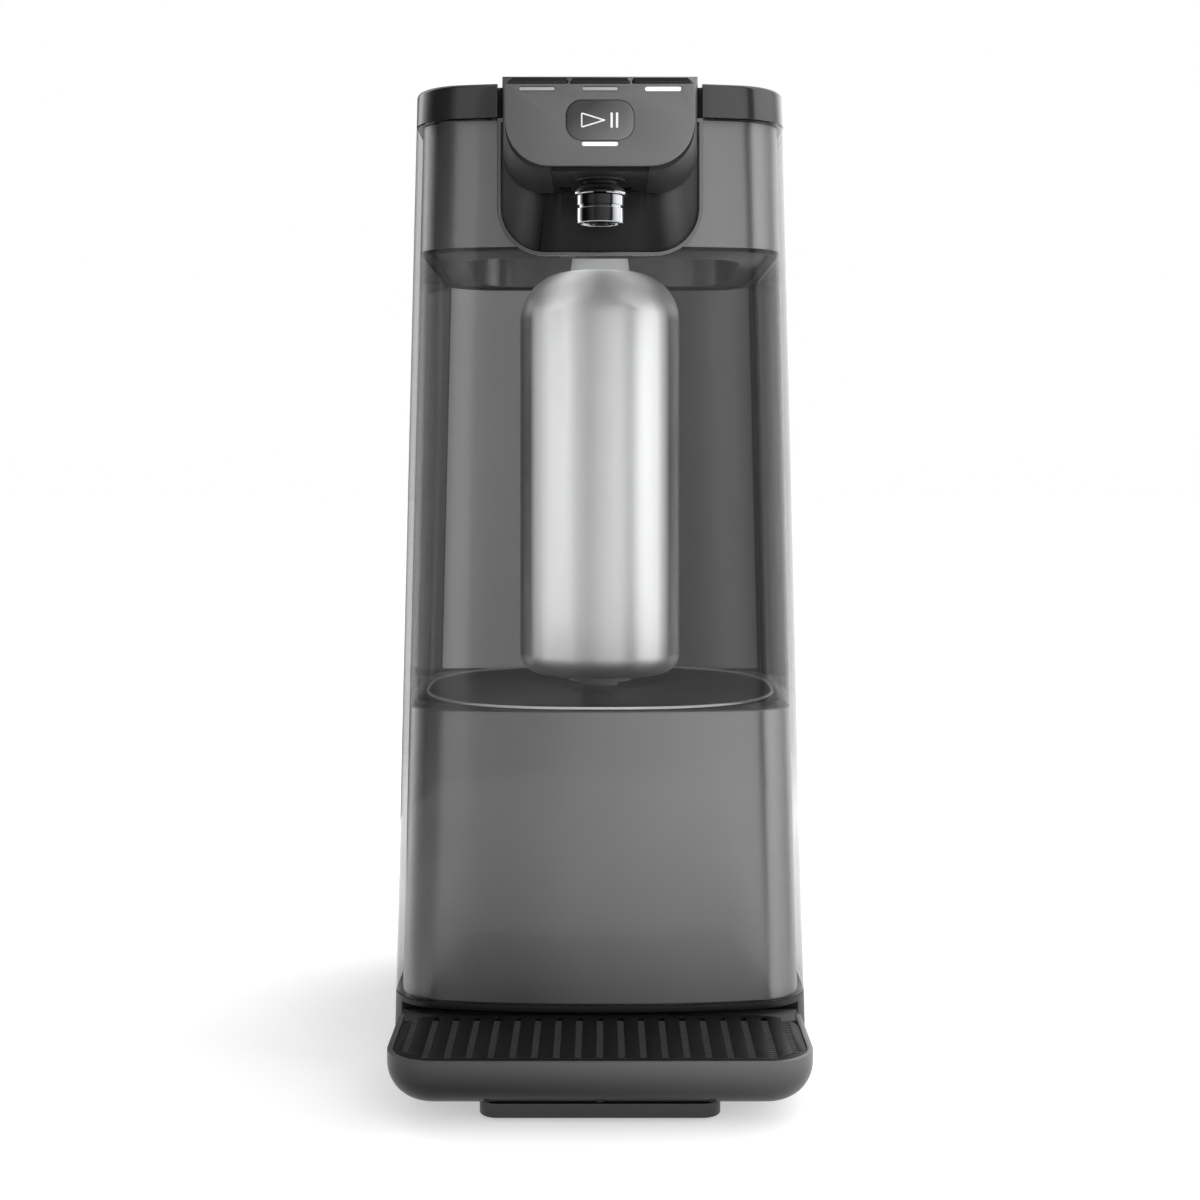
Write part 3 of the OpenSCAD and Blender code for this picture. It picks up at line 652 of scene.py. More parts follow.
class Work:
    """One piece on the bench, shaped in edit mode as by hand."""

    def __init__(self, name: str) -> None:
        """Takes the object that an add operator has just made."""
        self.obj = bpy.context.object
        self.obj.name = name
        self.obj.data.name = name

    # starting shapes

    @staticmethod
    def clear() -> None:
        """Leaves edit mode with nothing selected."""
        if bpy.context.object is not None and bpy.context.object.mode != "OBJECT":
            bpy.ops.object.mode_set(mode="OBJECT")
        bpy.ops.object.select_all(action="DESELECT")

    @classmethod
    def block(cls, name: str, low: Place, high: Place) -> "Work":
        """A box between two corners, open in edit mode."""
        cls.clear()
        low, high = Vector(low), Vector(high)
        bpy.ops.mesh.primitive_cube_add(size=1.0, location=(low + high) / 2)
        made = cls(name)
        made.obj.scale = high - low
        return made._settle()

    @classmethod
    def sheet(cls, name: str, low: Place, high: Place) -> "Work":
        """A flat sheet between two corners that share one coordinate."""
        cls.clear()
        low, high = Vector(low), Vector(high)
        span = high - low
        if span.y == 0:
            turn, scale = (math.pi / 2, 0, 0), (span.x, span.z, 1)
        elif span.x == 0:
            turn, scale = (0, math.pi / 2, 0), (span.z, span.y, 1)
        else:
            turn, scale = (0, 0, 0), (span.x, span.y, 1)
        bpy.ops.mesh.primitive_plane_add(size=1.0, location=(low + high) / 2, rotation=turn)
        made = cls(name)
        made.obj.scale = scale
        return made._settle()

    @classmethod
    def point(cls, name: str, at: Place) -> "Work":
        """A single point, to be drawn out into a line."""
        cls.clear()
        bpy.ops.mesh.primitive_plane_add(size=MM, location=at)
        made = cls(name)._settle()
        bpy.ops.mesh.merge(type="CENTER")
        return made

    @classmethod
    def turned(
        cls, name: str, profile: Sequence[tuple[float, float]], centre: Place, steps: int = 96
    ) -> "Work":
        """A piece turned about the z axis through centre.

        Args:
            name: name of the piece.
            profile: radius and height of each point, in metres.
            centre: a point on the axis.
            steps: sides round the turn.

        Returns:
            The piece, in edit mode.
        """
        centre = Vector(centre)
        radius, height = profile[0]
        made = cls.point(name, centre + Vector((radius, 0, height)))
        made.draw((b[0] - a[0], 0, b[1] - a[1]) for a, b in zip(profile, profile[1:]))
        made.every().spin(steps, math.tau, centre, ALONG_Z)
        return made.merge().outward()

    @classmethod
    def tile(cls, name: str, middle: Place, size: tuple[float, float], radius: float,
             depth: float, steps: int = 8) -> "Work":
        """Upright plate with round corners that faces the user.

        Args:
            name: name of the piece.
            middle: middle of its front face.
            size: width and height.
            radius: of its corners.
            depth: thickness, away from the user.
            steps: sides of each corner.

        Returns:
            The plate, with its edges still sharp.
        """
        x, y, z = middle
        w, h = size[0] / 2, size[1] / 2
        made = cls.sheet(name, (x - w, y, z - h), (x + w, y, z + h))
        return made._plate(radius, steps, (0, depth, 0))

    @classmethod
    def slab(cls, name: str, low: Place, high: Place, radius: float, steps: int = 8) -> "Work":
        """Lying plate with round upright corners between two corners of its box."""
        made = cls.sheet(name, low, (high[0], high[1], low[2]))
        return made._plate(radius, steps, (0, 0, high[2] - low[2]))

    @classmethod
    def rod(cls, name: str, start: Place, radius: float, length: float, axis: str = "Z",
            sides: int = 48) -> "Work":
        """Round bar from start along an axis, with its ends still sharp."""
        cls.clear()
        way, turn = {
            "X": ((1, 0, 0), (0, math.pi / 2, 0)),
            "Y": ((0, 1, 0), (math.pi / 2, 0, 0)),
            "Z": (ALONG_Z, (0, 0, 0)),
        }[axis]
        bpy.ops.mesh.primitive_cylinder_add(
            vertices=sides, radius=radius, depth=length, rotation=turn,
            location=Vector(start) + Vector(way) * (length / 2),
        )
        return cls(name)._settle()

    @classmethod
    def u_plate(cls, name: str, half_w: float, low: float, high: float, radius: float,
                front: float, depth: float, steps: int = 14) -> "Work":
        """Upright plate with two round lower corners that faces the user."""
        made = cls.sheet(name, (-half_w, front, low), (half_w, front, high))
        return made._plate(radius, steps, (0, depth, 0), lambda at, way: at.z < (low + high) / 2)

    def _plate(self, radius: float, steps: int, way: Place,
               test: Test = lambda at, way: True) -> "Work":
        """Rounds the corners of a sheet that pass a test and draws it out."""
        self.pick(Pick.VERTS, test)
        self.bevel(radius, steps, corners=True)
        return self.every().extrude(way).outward()

    def _settle(self) -> "Work":
        """Puts the place and size into the mesh and opens edit mode."""
        bpy.ops.object.transform_apply(location=True, rotation=True, scale=True)
        bpy.ops.object.mode_set(mode="EDIT")
        bpy.context.tool_settings.mesh_select_mode = Pick.VERTS.value
        bpy.ops.mesh.select_all(action="SELECT")
        return self

    # selecting

    def every(self) -> "Work":
        """Selects all."""
        bpy.ops.mesh.select_all(action="SELECT")
        return self

    def pick(self, kind: Pick, test: Test) -> int:
        """Selects by place and direction.

        Args:
            kind: vertices, edges or faces.
            test: told each one's middle, and its normal or an edge's direction.

        Returns:
            How many were selected.
        """
        bpy.context.tool_settings.mesh_select_mode = kind.value
        bpy.ops.mesh.select_all(action="DESELECT")
        mesh = bmesh.from_edit_mesh(self.obj.data)
        count = 0
        if kind is Pick.VERTS:
            rows = [(v, v.co, v.normal) for v in mesh.verts]
        elif kind is Pick.EDGES:
            rows = [
                (e, (e.verts[0].co + e.verts[1].co) / 2,
                 (e.verts[1].co - e.verts[0].co).normalized())
                for e in mesh.edges
            ]
        else:
            rows = [(f, f.calc_center_median(), f.normal) for f in mesh.faces]
        for item, middle, direction in rows:
            if test(middle, direction):
                item.select_set(True)
                count += 1
        mesh.select_flush_mode()
        bmesh.update_edit_mesh(self.obj.data)
        return count

    # shaping what is selected

    def bevel(self, width: float, segments: int = 4, corners: bool = False,
              profile: float = 0.5) -> "Work":
        """Rounds the selected edges, or the selected corners of a sheet."""
        bpy.ops.mesh.bevel(
            offset=width, segments=segments, profile=profile,
            affect="VERTICES" if corners else "EDGES", clamp_overlap=False,
        )
        return self

    def extrude(self, way: Place) -> "Work":
        """Draws the selection out."""
        bpy.ops.mesh.extrude_region_move(TRANSFORM_OT_translate={"value": way})
        return self

    def draw(self, steps: Iterable[Place]) -> "Work":
        """Draws a line out of the selected point, step by step."""
        for step in steps:
            self.extrude(step)
        return self

    def inset(self, width: float, depth: float = 0.0) -> "Work":
        """Insets the selected faces."""
        bpy.ops.mesh.inset(thickness=width, depth=depth, use_even_offset=True)
        return self

    def spin(self, steps: int, angle: float, centre: Place, axis: Place) -> "Work":
        """Sweeps the selection round an axis, right-handed."""
        bpy.ops.mesh.spin(steps=steps, angle=-angle, center=centre, axis=axis)
        return self

    def move(self, way: Place) -> "Work":
        """Moves the selection."""
        bpy.ops.transform.translate(value=way)
        return self

    def turn(self, angle: float, axis: str, centre: Place) -> "Work":
        """Turns the selection about an axis through centre, right-handed."""
        bpy.ops.transform.rotate(
            value=-angle, orient_axis=axis, orient_type="GLOBAL", center_override=centre
        )
        return self

    def cut(self, at: Place, normal: Place, drop: Optional[str] = None,
            fill: bool = False) -> "Work":
        """Cuts everything by a plane.

        Args:
            at: a point on the plane.
            normal: the plane's direction.
            drop: "over" or "under" to delete that side.
            fill: closes the cut.

        Returns:
            This piece.
        """
        self.every()
        bpy.ops.mesh.bisect(
            plane_co=at, plane_no=normal, clear_outer=drop == "over",
            clear_inner=drop == "under", use_fill=fill,
        )
        return self

    def remove(self) -> "Work":
        """Deletes the selected faces."""
        bpy.ops.mesh.delete(type="FACE")
        return self

    def closed(self, z: float, above: bool = False) -> "Work":
        """Fills the open end that lies below, or above, a height."""
        self.pick(Pick.EDGES, lambda at, way: at.z > z if above else at.z < z)
        bpy.ops.mesh.edge_face_add()
        return self

    def merge(self, distance: float = MERGE) -> "Work":
        """Merges doubles."""
        self.every()
        bpy.ops.mesh.remove_doubles(threshold=distance)
        return self

    def outward(self) -> "Work":
        """Turns all faces outwards."""
        self.every()
        bpy.ops.mesh.normals_make_consistent(inside=False)
        return self

    def reshape(self, rule: Callable[[Vector], Vector]) -> "Work":
        """Moves every vertex by a rule of its place."""
        mesh = bmesh.from_edit_mesh(self.obj.data)
        for vertex in mesh.verts:
            vertex.co = rule(vertex.co)
        bmesh.update_edit_mesh(self.obj.data)
        return self

    # whole-object steps

    def _alone(self) -> None:
        """Leaves edit mode with only this piece selected."""
        self.clear()
        self.obj.select_set(True)
        bpy.context.view_layer.objects.active = self.obj

    def modify(self, kind: str, **settings: Any) -> "Work":
        """Adds a modifier and applies it."""
        bpy.ops.object.mode_set(mode="OBJECT")
        modifier = self.obj.modifiers.new(kind.lower(), kind)
        for name, value in settings.items():
            setattr(modifier, name, value)
        bpy.ops.object.modifier_apply(modifier=modifier.name)
        bpy.ops.object.mode_set(mode="EDIT")
        return self

    def soften(self, width: float, segments: int = 3, angle: float = 40.0) -> "Work":
        """Rounds every edge sharper than an angle in degrees."""
        return self.modify(
            "BEVEL", width=width, segments=segments, limit_method="ANGLE",
            angle_limit=math.radians(angle), harden_normals=False, use_clamp_overlap=True,
        )

    def thicken(self, wall: float, offset: float = -1.0) -> "Work":
        """Gives a skin its wall, inwards unless told otherwise."""
        return self.modify("SOLIDIFY", thickness=wall, offset=offset, use_even_offset=True)

    def _combine(self, operation: str, others: Iterable["Work"]) -> "Work":
        """Applies one Boolean for each other piece, and uses those up."""
        for other in others:
            self._alone()
            modifier = self.obj.modifiers.new("cut", "BOOLEAN")
            modifier.operation = operation
            modifier.solver = "EXACT"
            modifier.object = other.obj
            bpy.ops.object.modifier_apply(modifier=modifier.name)
            bpy.data.objects.remove(other.obj)
        bpy.ops.object.mode_set(mode="EDIT")
        return self.every()

    def carve(self, *cutters: "Work") -> "Work":
        """Cuts other pieces out of this one."""
        return self._combine("DIFFERENCE", cutters)

    def grow(self, *pieces: "Work") -> "Work":
        """Joins other pieces to this one as one closed body."""
        return self._combine("UNION", pieces)

    def trim(self, keeper: "Work") -> "Work":
        """Keeps only what lies inside another piece."""
        return self._combine("INTERSECT", (keeper,))

    def copied(self, name: str) -> "Work":
        """A copy with its own mesh, open in edit mode."""
        self._alone()
        bpy.ops.object.duplicate()
        made = Work(name)
        bpy.ops.object.mode_set(mode="EDIT")
        return made.every()

    def join(self, *others: "Work") -> "Work":
        """Joins other pieces into this one without a Boolean."""
        self._alone()
        for other in others:
            other.obj.select_set(True)
        bpy.ops.object.join()
        bpy.ops.object.mode_set(mode="EDIT")
        return self.every()

    def done(self, slot: str, body: str, *replaced: str, angle: float = 38.0,
             finish: Optional[Finish] = None, even: bool = False) -> bpy.types.Object:
        """Smooths and dresses the piece, and fixes it to its body.

        Args:
            slot: the record's material slot.
            body: the body that it rides on.
            replaced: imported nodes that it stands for.
            angle: edges sharper than this stay sharp, in degrees.
            finish: another finish than the slot's own.
            even: lets large faces lead the shading of the small ones beside them.

        Returns:
            The finished object.
        """
        self._alone()
        bpy.ops.object.shade_smooth_by_angle(angle=math.radians(angle))
        if even:
            self.modify("WEIGHTED_NORMAL", keep_sharp=True, weight=80)
            bpy.ops.object.mode_set(mode="OBJECT")
        self.obj.data.materials.clear()
        self.obj.data.materials.append((finish or FINISH_OF[slot]).material())
        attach(self.obj, body)
        if replaced:
            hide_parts(*replaced)
        log.info("%s: %d faces on %s", self.obj.name, len(self.obj.data.polygons), body)
        return self.obj


def arc(centre: tuple[float, float], radius: float, start: float, stop: float,
        steps: int) -> list[tuple[float, float]]:
    """Points on an arc.

    Args:
        centre: its middle.
        radius: its radius.
        start: first angle in degrees.
        stop: last angle in degrees.
        steps: number of steps between them.

    Returns:
        The points, both ends included.
    """
    angles = [math.radians(start + (stop - start) * i / steps) for i in range(steps + 1)]
    return [(centre[0] + radius * math.cos(a), centre[1] + radius * math.sin(a)) for a in angles]


# ----------------------------------------------------------------- the column


@dataclass
class Column:
    """Leaning, slightly bowed column: shell, rear cover and lid share its skin."""

    front_r: float = 20 * MM
    rear_r: float = 24 * MM
    wall: float = 2.4 * MM
    overlap: float = 12 * MM
    margin: float = 10 * MM
    lid_gap: float = 0.4 * MM
    lid_wall: float = 2.2 * MM
    pin_r: float = 1.55 * MM
    knuckle_r: float = 3.2 * MM
    low: Vector = field(init=False)
    high: Vector = field(init=False)
    lid_low: Vector = field(init=False)
    lid_high: Vector = field(init=False)
    lean: float = field(init=False)
    half_top: float = field(init=False)
    back: float = field(init=False)
    split: float = field(init=False)

    def __post_init__(self) -> None:
        """Reads the column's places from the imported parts."""
        self.low, self.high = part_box("front_shell")
        self.lid_low, self.lid_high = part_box("lid")
        lid_edge = self.high.z + self.lid_gap
        self.lean = math.atan((self.high.x - self.lid_high.x) / (lid_edge - self.low.z))
        self.half_top = self.lid_high.x - (self.lid_high.z - lid_edge) * math.tan(self.lean)
        self.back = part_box("base_pan")[1].y
        self.split = self.high.y

    def outline(self, name: str, inset: float, rear: float) -> Work:
        """Right half of the plan, moved inwards, as a line at the lid's top height."""
        front = self.low.y
        corner_x = self.half_top - self.front_r
        bow_y = front + BOW_R
        turn = math.asin(corner_x / (BOW_R - self.front_r))
        corner_y = bow_y - (BOW_R - self.front_r) * math.cos(turn)
        line = Work.point(name, (-self.overlap, front + inset, self.lid_high.z))
        line.extrude((self.overlap, 0, 0))
        line.spin(14, turn, (0, bow_y, 0), ALONG_Z)
        line.spin(20, math.pi / 2 - turn, (corner_x, corner_y, 0), ALONG_Z)
        line.extrude((0, rear - self.rear_r - corner_y, 0))
        rear_x = self.half_top - self.rear_r
        line.spin(20, math.pi / 2, (rear_x, rear - self.rear_r, 0), ALONG_Z)
        line.extrude((-rear_x - self.overlap, 0, 0))
        return line

    def skin(self, name: str, low: float, high: float, inset: float = 0.0,
             rear: Optional[float] = None) -> Work:
        """Leaning wall without thickness, all round, between two heights.

        Args:
            name: name of the piece.
            low: its lower edge.
            high: its upper edge.
            inset: how far inside the column's surface it lies.
            rear: y of its back, or None for the column's own.

        Returns:
            The skin, in edit mode.
        """
        made = self.outline(name, inset, self.back if rear is None else rear)
        top = self.lid_high.z
        made.every().move((0, 0, self.margin))
        made.extrude((0, 0, -(top + 2 * self.margin)))
        made.every().turn(-self.lean, "Y", (0, 0, top))
        made.cut((0, 0, 0), (1, 0, 0), drop="under")
        made.cut((0, 0, high), ALONG_Z, drop="over")
        made.cut((0, 0, low), ALONG_Z, drop="under")
        made.modify("MIRROR", use_axis=(True, False, False), merge_threshold=2 * NEAR)
        return made.merge(2 * NEAR).outward()

    def head_way(self, grow: float) -> Work:
        """Cutter for the opening behind the head."""
        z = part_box("spout_hose")[1].z - 2.6 * MM
        w, h = (13 + grow) * MM, (8 + grow) * MM
        front = self.low.y
        return Work.block("way", (-w, front - 10 * MM, z - h), (w, front + 12 * MM, z + h))

    def shell(self) -> None:
        """Smoked front shell, one clear wall round the front and the sides."""
        made = self.skin("shell_front", self.low.z, self.high.z)
        made.cut((0, self.split, 0), (0, 1, 0), drop="over")
        made.thicken(self.wall)
        made.carve(self.head_way(1.0))
        made.soften(0.35 * MM, 3)
        made.done("smoked_clear", "cabinet", "front_shell")

    def rear_cover(self) -> None:
        """Dark cover of the back, with air slots, a hole for the cable gland and two hinge
        knuckles.
        """
        made = self.skin("cover_rear", self.low.z, self.high.z)
        made.cut((0, self.split + 0.2 * MM, 0), (0, 1, 0), drop="under")
        made.thicken(self.wall)
        slots = [
            Work.tile("slot", (10 * MM, self.back - 6 * MM, (66 + 5 * i) * MM),
                      (56 * MM, 2 * MM), 0.99 * MM, 7 * MM, 4)
            for i in range(9)
        ]
        at = middle("cable_gland")
        gland = Work.rod("hole", (at.x, self.back - 6 * MM, at.z), 6.1 * MM, 8 * MM, "Y")
        made.carve(*slots, gland)
        pin = middle("lid_hinge_pin").z
        for x in (-26 * MM, 14 * MM):
            made.grow(self.knuckle(x, 12 * MM, (pin - 7 * MM, pin - MM),
                                   (self.high.z, pin + 4 * MM)))
        made.soften(0.3 * MM, 3)
        made.done("satin_dark", "cabinet", "rear_cover", even=True)

    def knuckle(self, x: float, length: float, arm: tuple[float, float],
                free: tuple[float, float]) -> Work:
        """Barrel round the hinge pin, with an arm to the column's back.

        Args:
            x: its left end.
            length: along the pin.
            arm: lowest and highest z of the arm.
            free: z range in which it stays clear of the column's back.

        Returns:
            The knuckle.
        """
        pin = middle("lid_hinge_pin")
        end = x + length
        made = Work.rod("knuckle", (x, pin.y, pin.z), self.knuckle_r, length, "X", 32)
        made.grow(Work.block("arm", (x, self.back - MM, arm[0]), (end, pin.y + MM, arm[1])))
        return made.carve(
            Work.rod("bore", (x - MM, pin.y, pin.z), self.pin_r, length + 2 * MM, "X", 24),
            Work.block("step", (x - MM, self.back - 3 * MM, free[0]),
                       (end + MM, self.back + 0.3 * MM, free[1])),
        )

    def lid(self, root_back: float) -> None:
        """Gloss cap with a softly rounded top, a notch for the head and a knuckle."""
        low, top = self.high.z + self.lid_gap, self.lid_high.z
        made = self.skin("lid_cap", low, top)
        made.closed(top - NEAR, above=True).outward().thicken(self.lid_wall)
        made.pick(Pick.EDGES, lambda at, way: at.z > top - NEAR)
        made.bevel(1.5 * MM, 5)
        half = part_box("panel_bead")[1].x
        front = self.low.y

        def notch() -> Work:
            """Cutter for the way through for the head's root."""
            return Work.block("notch", (-half, front - 5 * MM, low - 20 * MM),
                              (half, root_back + 0.8 * MM, top + 20 * MM))

        wall = Work.block("wall", (-half - 1.8 * MM, front + 4 * MM, low),
                          (half + 1.8 * MM, root_back + 2.6 * MM, top - MM))
        made.carve(notch()).grow(wall.carve(notch()))
        pin = middle("lid_hinge_pin").z
        made.grow(self.knuckle(-13.4 * MM, 26.8 * MM, (pin + MM, pin + 7 * MM),
                               (pin - 4 * MM, pin)))
        made.soften(0.3 * MM, 3)
        made.done("gloss_black", "lid", "lid", finish=CAP_GLOSS)

    def base(self) -> None:
        """Dark pan under the column, with the bay for the tray and sunk screws."""
        low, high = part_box("base_pan")
        made = self.skin("pan_base", low.z, high.z)
        made.closed(low.z + NEAR).outward().thicken(self.wall)
        tray_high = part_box("drip_tray")[1]
        half = tray_high.x + 0.6 * MM
        liner = Work.block("bay", (-half - 2 * MM, self.low.y + 0.5 * MM, low.z + 0.5 * MM),
                           (half + 2 * MM, tray_high.y + 3.2 * MM, high.z - 0.2 * MM))
        outer = self.skin("keep", low.z - MM, high.z + MM, 0.6 * MM)
        outer.closed(low.z - 0.9 * MM).closed(high.z + 0.9 * MM, above=True).outward()
        made.grow(liner.trim(outer))
        made.carve(Work.block("recess", (-half, self.low.y - 6 * MM, low.z - MM),
                              (half, tray_high.y + 0.8 * MM, tray_high.z + 0.5 * MM)))
        front, back = self.low.y + 34 * MM, self.back - 12 * MM
        made.carve(*(Work.rod("sink", (x * MM, y, low.z - MM), 3.4 * MM, 3 * MM)
                     for x, y in ((-52, front), (52, front), (-30, back), (30, back))))
        made.soften(0.4 * MM, 3)
        made.done("satin_dark", "cabinet", "base_pan", finish=BASE_DARK)

    def build(self) -> None:
        """Makes the covers of the column."""
        self.shell()
        self.rear_cover()
        self.lid(self.low.y + 9 * MM)
        self.base()


# ------------------------------------------------------------- inside the column


@dataclass
class Inside:
    """Liner, tank and filling collar behind the smoked shell."""

    column: Column
    seat: float = 0.1 * MM
    rear: float = 2.5 * MM
    liner: float = 2.5 * MM
    collar_wall: float = 2.1 * MM
    tank_wall: float = 2.2 * MM
    well_half: float = 52 * MM
    well_corner: float = 18 * MM
    channel: tuple[float, float] = (306 * MM, 314 * MM)

    def housing(self) -> None:
        """Grey liner round the equipment bay, closed by the deck."""
        low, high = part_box("lower_housing")
        made = self.column.skin(
            "liner_lower", low.z, high.z, self.column.wall + self.seat, high.y + self.rear
        )
        made.closed(high.z - NEAR, above=True).outward().thicken(self.liner)
        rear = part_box("tank")[1].y
        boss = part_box("tank_fitting")[1].y - 11 * MM
        made.carve(
            Work.block("opening", (-42 * MM, rear - 20 * MM, low.z - MM),
                       (42 * MM, rear + 20 * MM, high.z - 6 * MM)),
            Work.rod("hole", (0, boss, high.z - 8 * MM), 11.5 * MM, 12 * MM),
        )
        made.soften(0.4 * MM, 3)
        made.done("liner_grey", "cabinet", "lower_housing")

    def ring(self) -> None:
        """Slim pale ring round the deck, where the clear tank stands."""
        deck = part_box("lower_housing")[1].z
        x_mid, y_mid, half, depth = Slot.LINER_GREY.value.ring
        steps = 96

        def at(i: int) -> Vector:
            """Point of the rounded outline after i steps."""
            turn = math.tau * i / steps
            c, w = math.cos(turn), math.sin(turn)
            return Vector((
                x_mid + half * math.copysign(abs(c) ** (2 / RING_POWER), c),
                y_mid + depth * math.copysign(abs(w) ** (2 / RING_POWER), w),
                deck + 0.5 * MM,
            ))

        made = Work.point("deck_ring", at(0))
        made.draw(at(i + 1) - at(i) for i in range(steps))
        made.merge(NEAR).every().extrude((0, 0, 0.8 * MM))
        made.thicken(0.8 * MM, 0.0).outward()
        made.done("light_grey", "cabinet", finish=RING_GREY)

    def tank(self) -> None:
        """Clear tank with a rounded floor and a spigot for the filter."""
        low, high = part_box("tank")
        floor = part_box("lower_housing")[1].z + self.seat
        made = self.column.skin(
            "tank_body", floor, high.z, self.column.wall + 0.5 * MM, high.y + 2.9 * MM
        )
        made.closed(floor + NEAR).outward().thicken(self.tank_wall)
        made.pick(Pick.EDGES, lambda at, way: at.z < floor + NEAR)
        made.bevel(2.0 * MM, 5)
        y = middle("filter_canister").y
        made.grow(Work.rod("spigot", (0, y, low.z), 11 * MM, floor + 2 * MM - low.z))
        made.carve(Work.rod("bore", (0, y, low.z - MM), 7.1 * MM, 40 * MM))
        made.soften(0.3 * MM, 3)
        made.done("tank_clear", "cabinet", "tank")

    def collar(self) -> None:
        """Grey filling collar with a deep round-cornered well over the tank."""
        low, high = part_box("upper_collar")
        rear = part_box("tank")[1].y
        made = self.column.skin(
            "collar_upper", low.z, high.z, self.column.wall + self.seat, high.y + self.rear
        )
        made.closed(low.z + NEAR).outward().thicken(self.collar_wall)
        front, back = self.column.low.y + 38 * MM, rear - 8 * MM
        half, corner = self.well_half, self.well_corner
        made.grow(Work.slab("lip", (-half - 2 * MM, front - 2 * MM, low.z),
                            (half + 2 * MM, back + 2 * MM, high.z), corner + 2 * MM, 12))
        made.carve(
            Work.slab("well", (-half, front, low.z - MM), (half, back, high.z + MM), corner, 12),
            self.column.head_way(1.0),
            Work.block("channel", (-61.4 * MM, rear - 24 * MM, self.channel[0]),
                       (-55.6 * MM, rear + 10 * MM, self.channel[1])),
        )
        made.soften(0.4 * MM, 3)
        made.done("liner_grey", "cabinet", "upper_collar")

    def build(self) -> None:
        """Makes the pieces seen through the shell."""
        self.housing()
        self.ring()
        self.tank()
        self.collar()


@dataclass
class Filter:
    """Round metal cartridge with its pale neck and pull tab."""

    foot: float = 8 * MM
    shoulder: float = 19 * MM

    def build(self) -> None:
        """Turns the canister and the neck."""
        low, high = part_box("filter_canister")
        mid_y = middle("filter_canister").y
        r, foot, shoulder = high.x, self.foot, self.shoulder
        profile = [(0.0, low.z)]
        profile += arc((r - foot, low.z + foot), foot, -90, 0, 10)
        profile += arc((r - shoulder, high.z - shoulder), shoulder, 0, 90, 16)
        profile += [(0.0, high.z)]
        can = Work.turned("canister", profile, (0, mid_y, 0), 128)
        can.done("canister_metal", "filter", "filter_canister", angle=30)
        base = high.z
        rim = [(0.0, base), (11.3 * MM, base), (11.3 * MM, base + 0.4 * MM)]
        rim += [(10.3 * MM, base + 8.6 * MM)]
        rim += arc((9.6 * MM, base + 13.4 * MM), 0.6 * MM, 0, 90, 4) + [(0.0, base + 14 * MM)]
        neck = Work.turned("neck", rim, (0, mid_y, 0), 72)
        tab = Work.tile("tab", (0, mid_y - 10 * MM, base + 17.5 * MM), (5 * MM, 9 * MM),
                        0.8 * MM, 20 * MM, 4)
        tab.carve(Work.rod("hole", (-3 * MM, mid_y, base + 16 * MM), 1.2 * MM, 6 * MM, "X", 24))
        neck.grow(tab).soften(0.25 * MM, 2)
        neck.done("light_grey", "filter", "filter_neck", finish=NECK_GREY)


# --------------------------------------------------------------------- the head


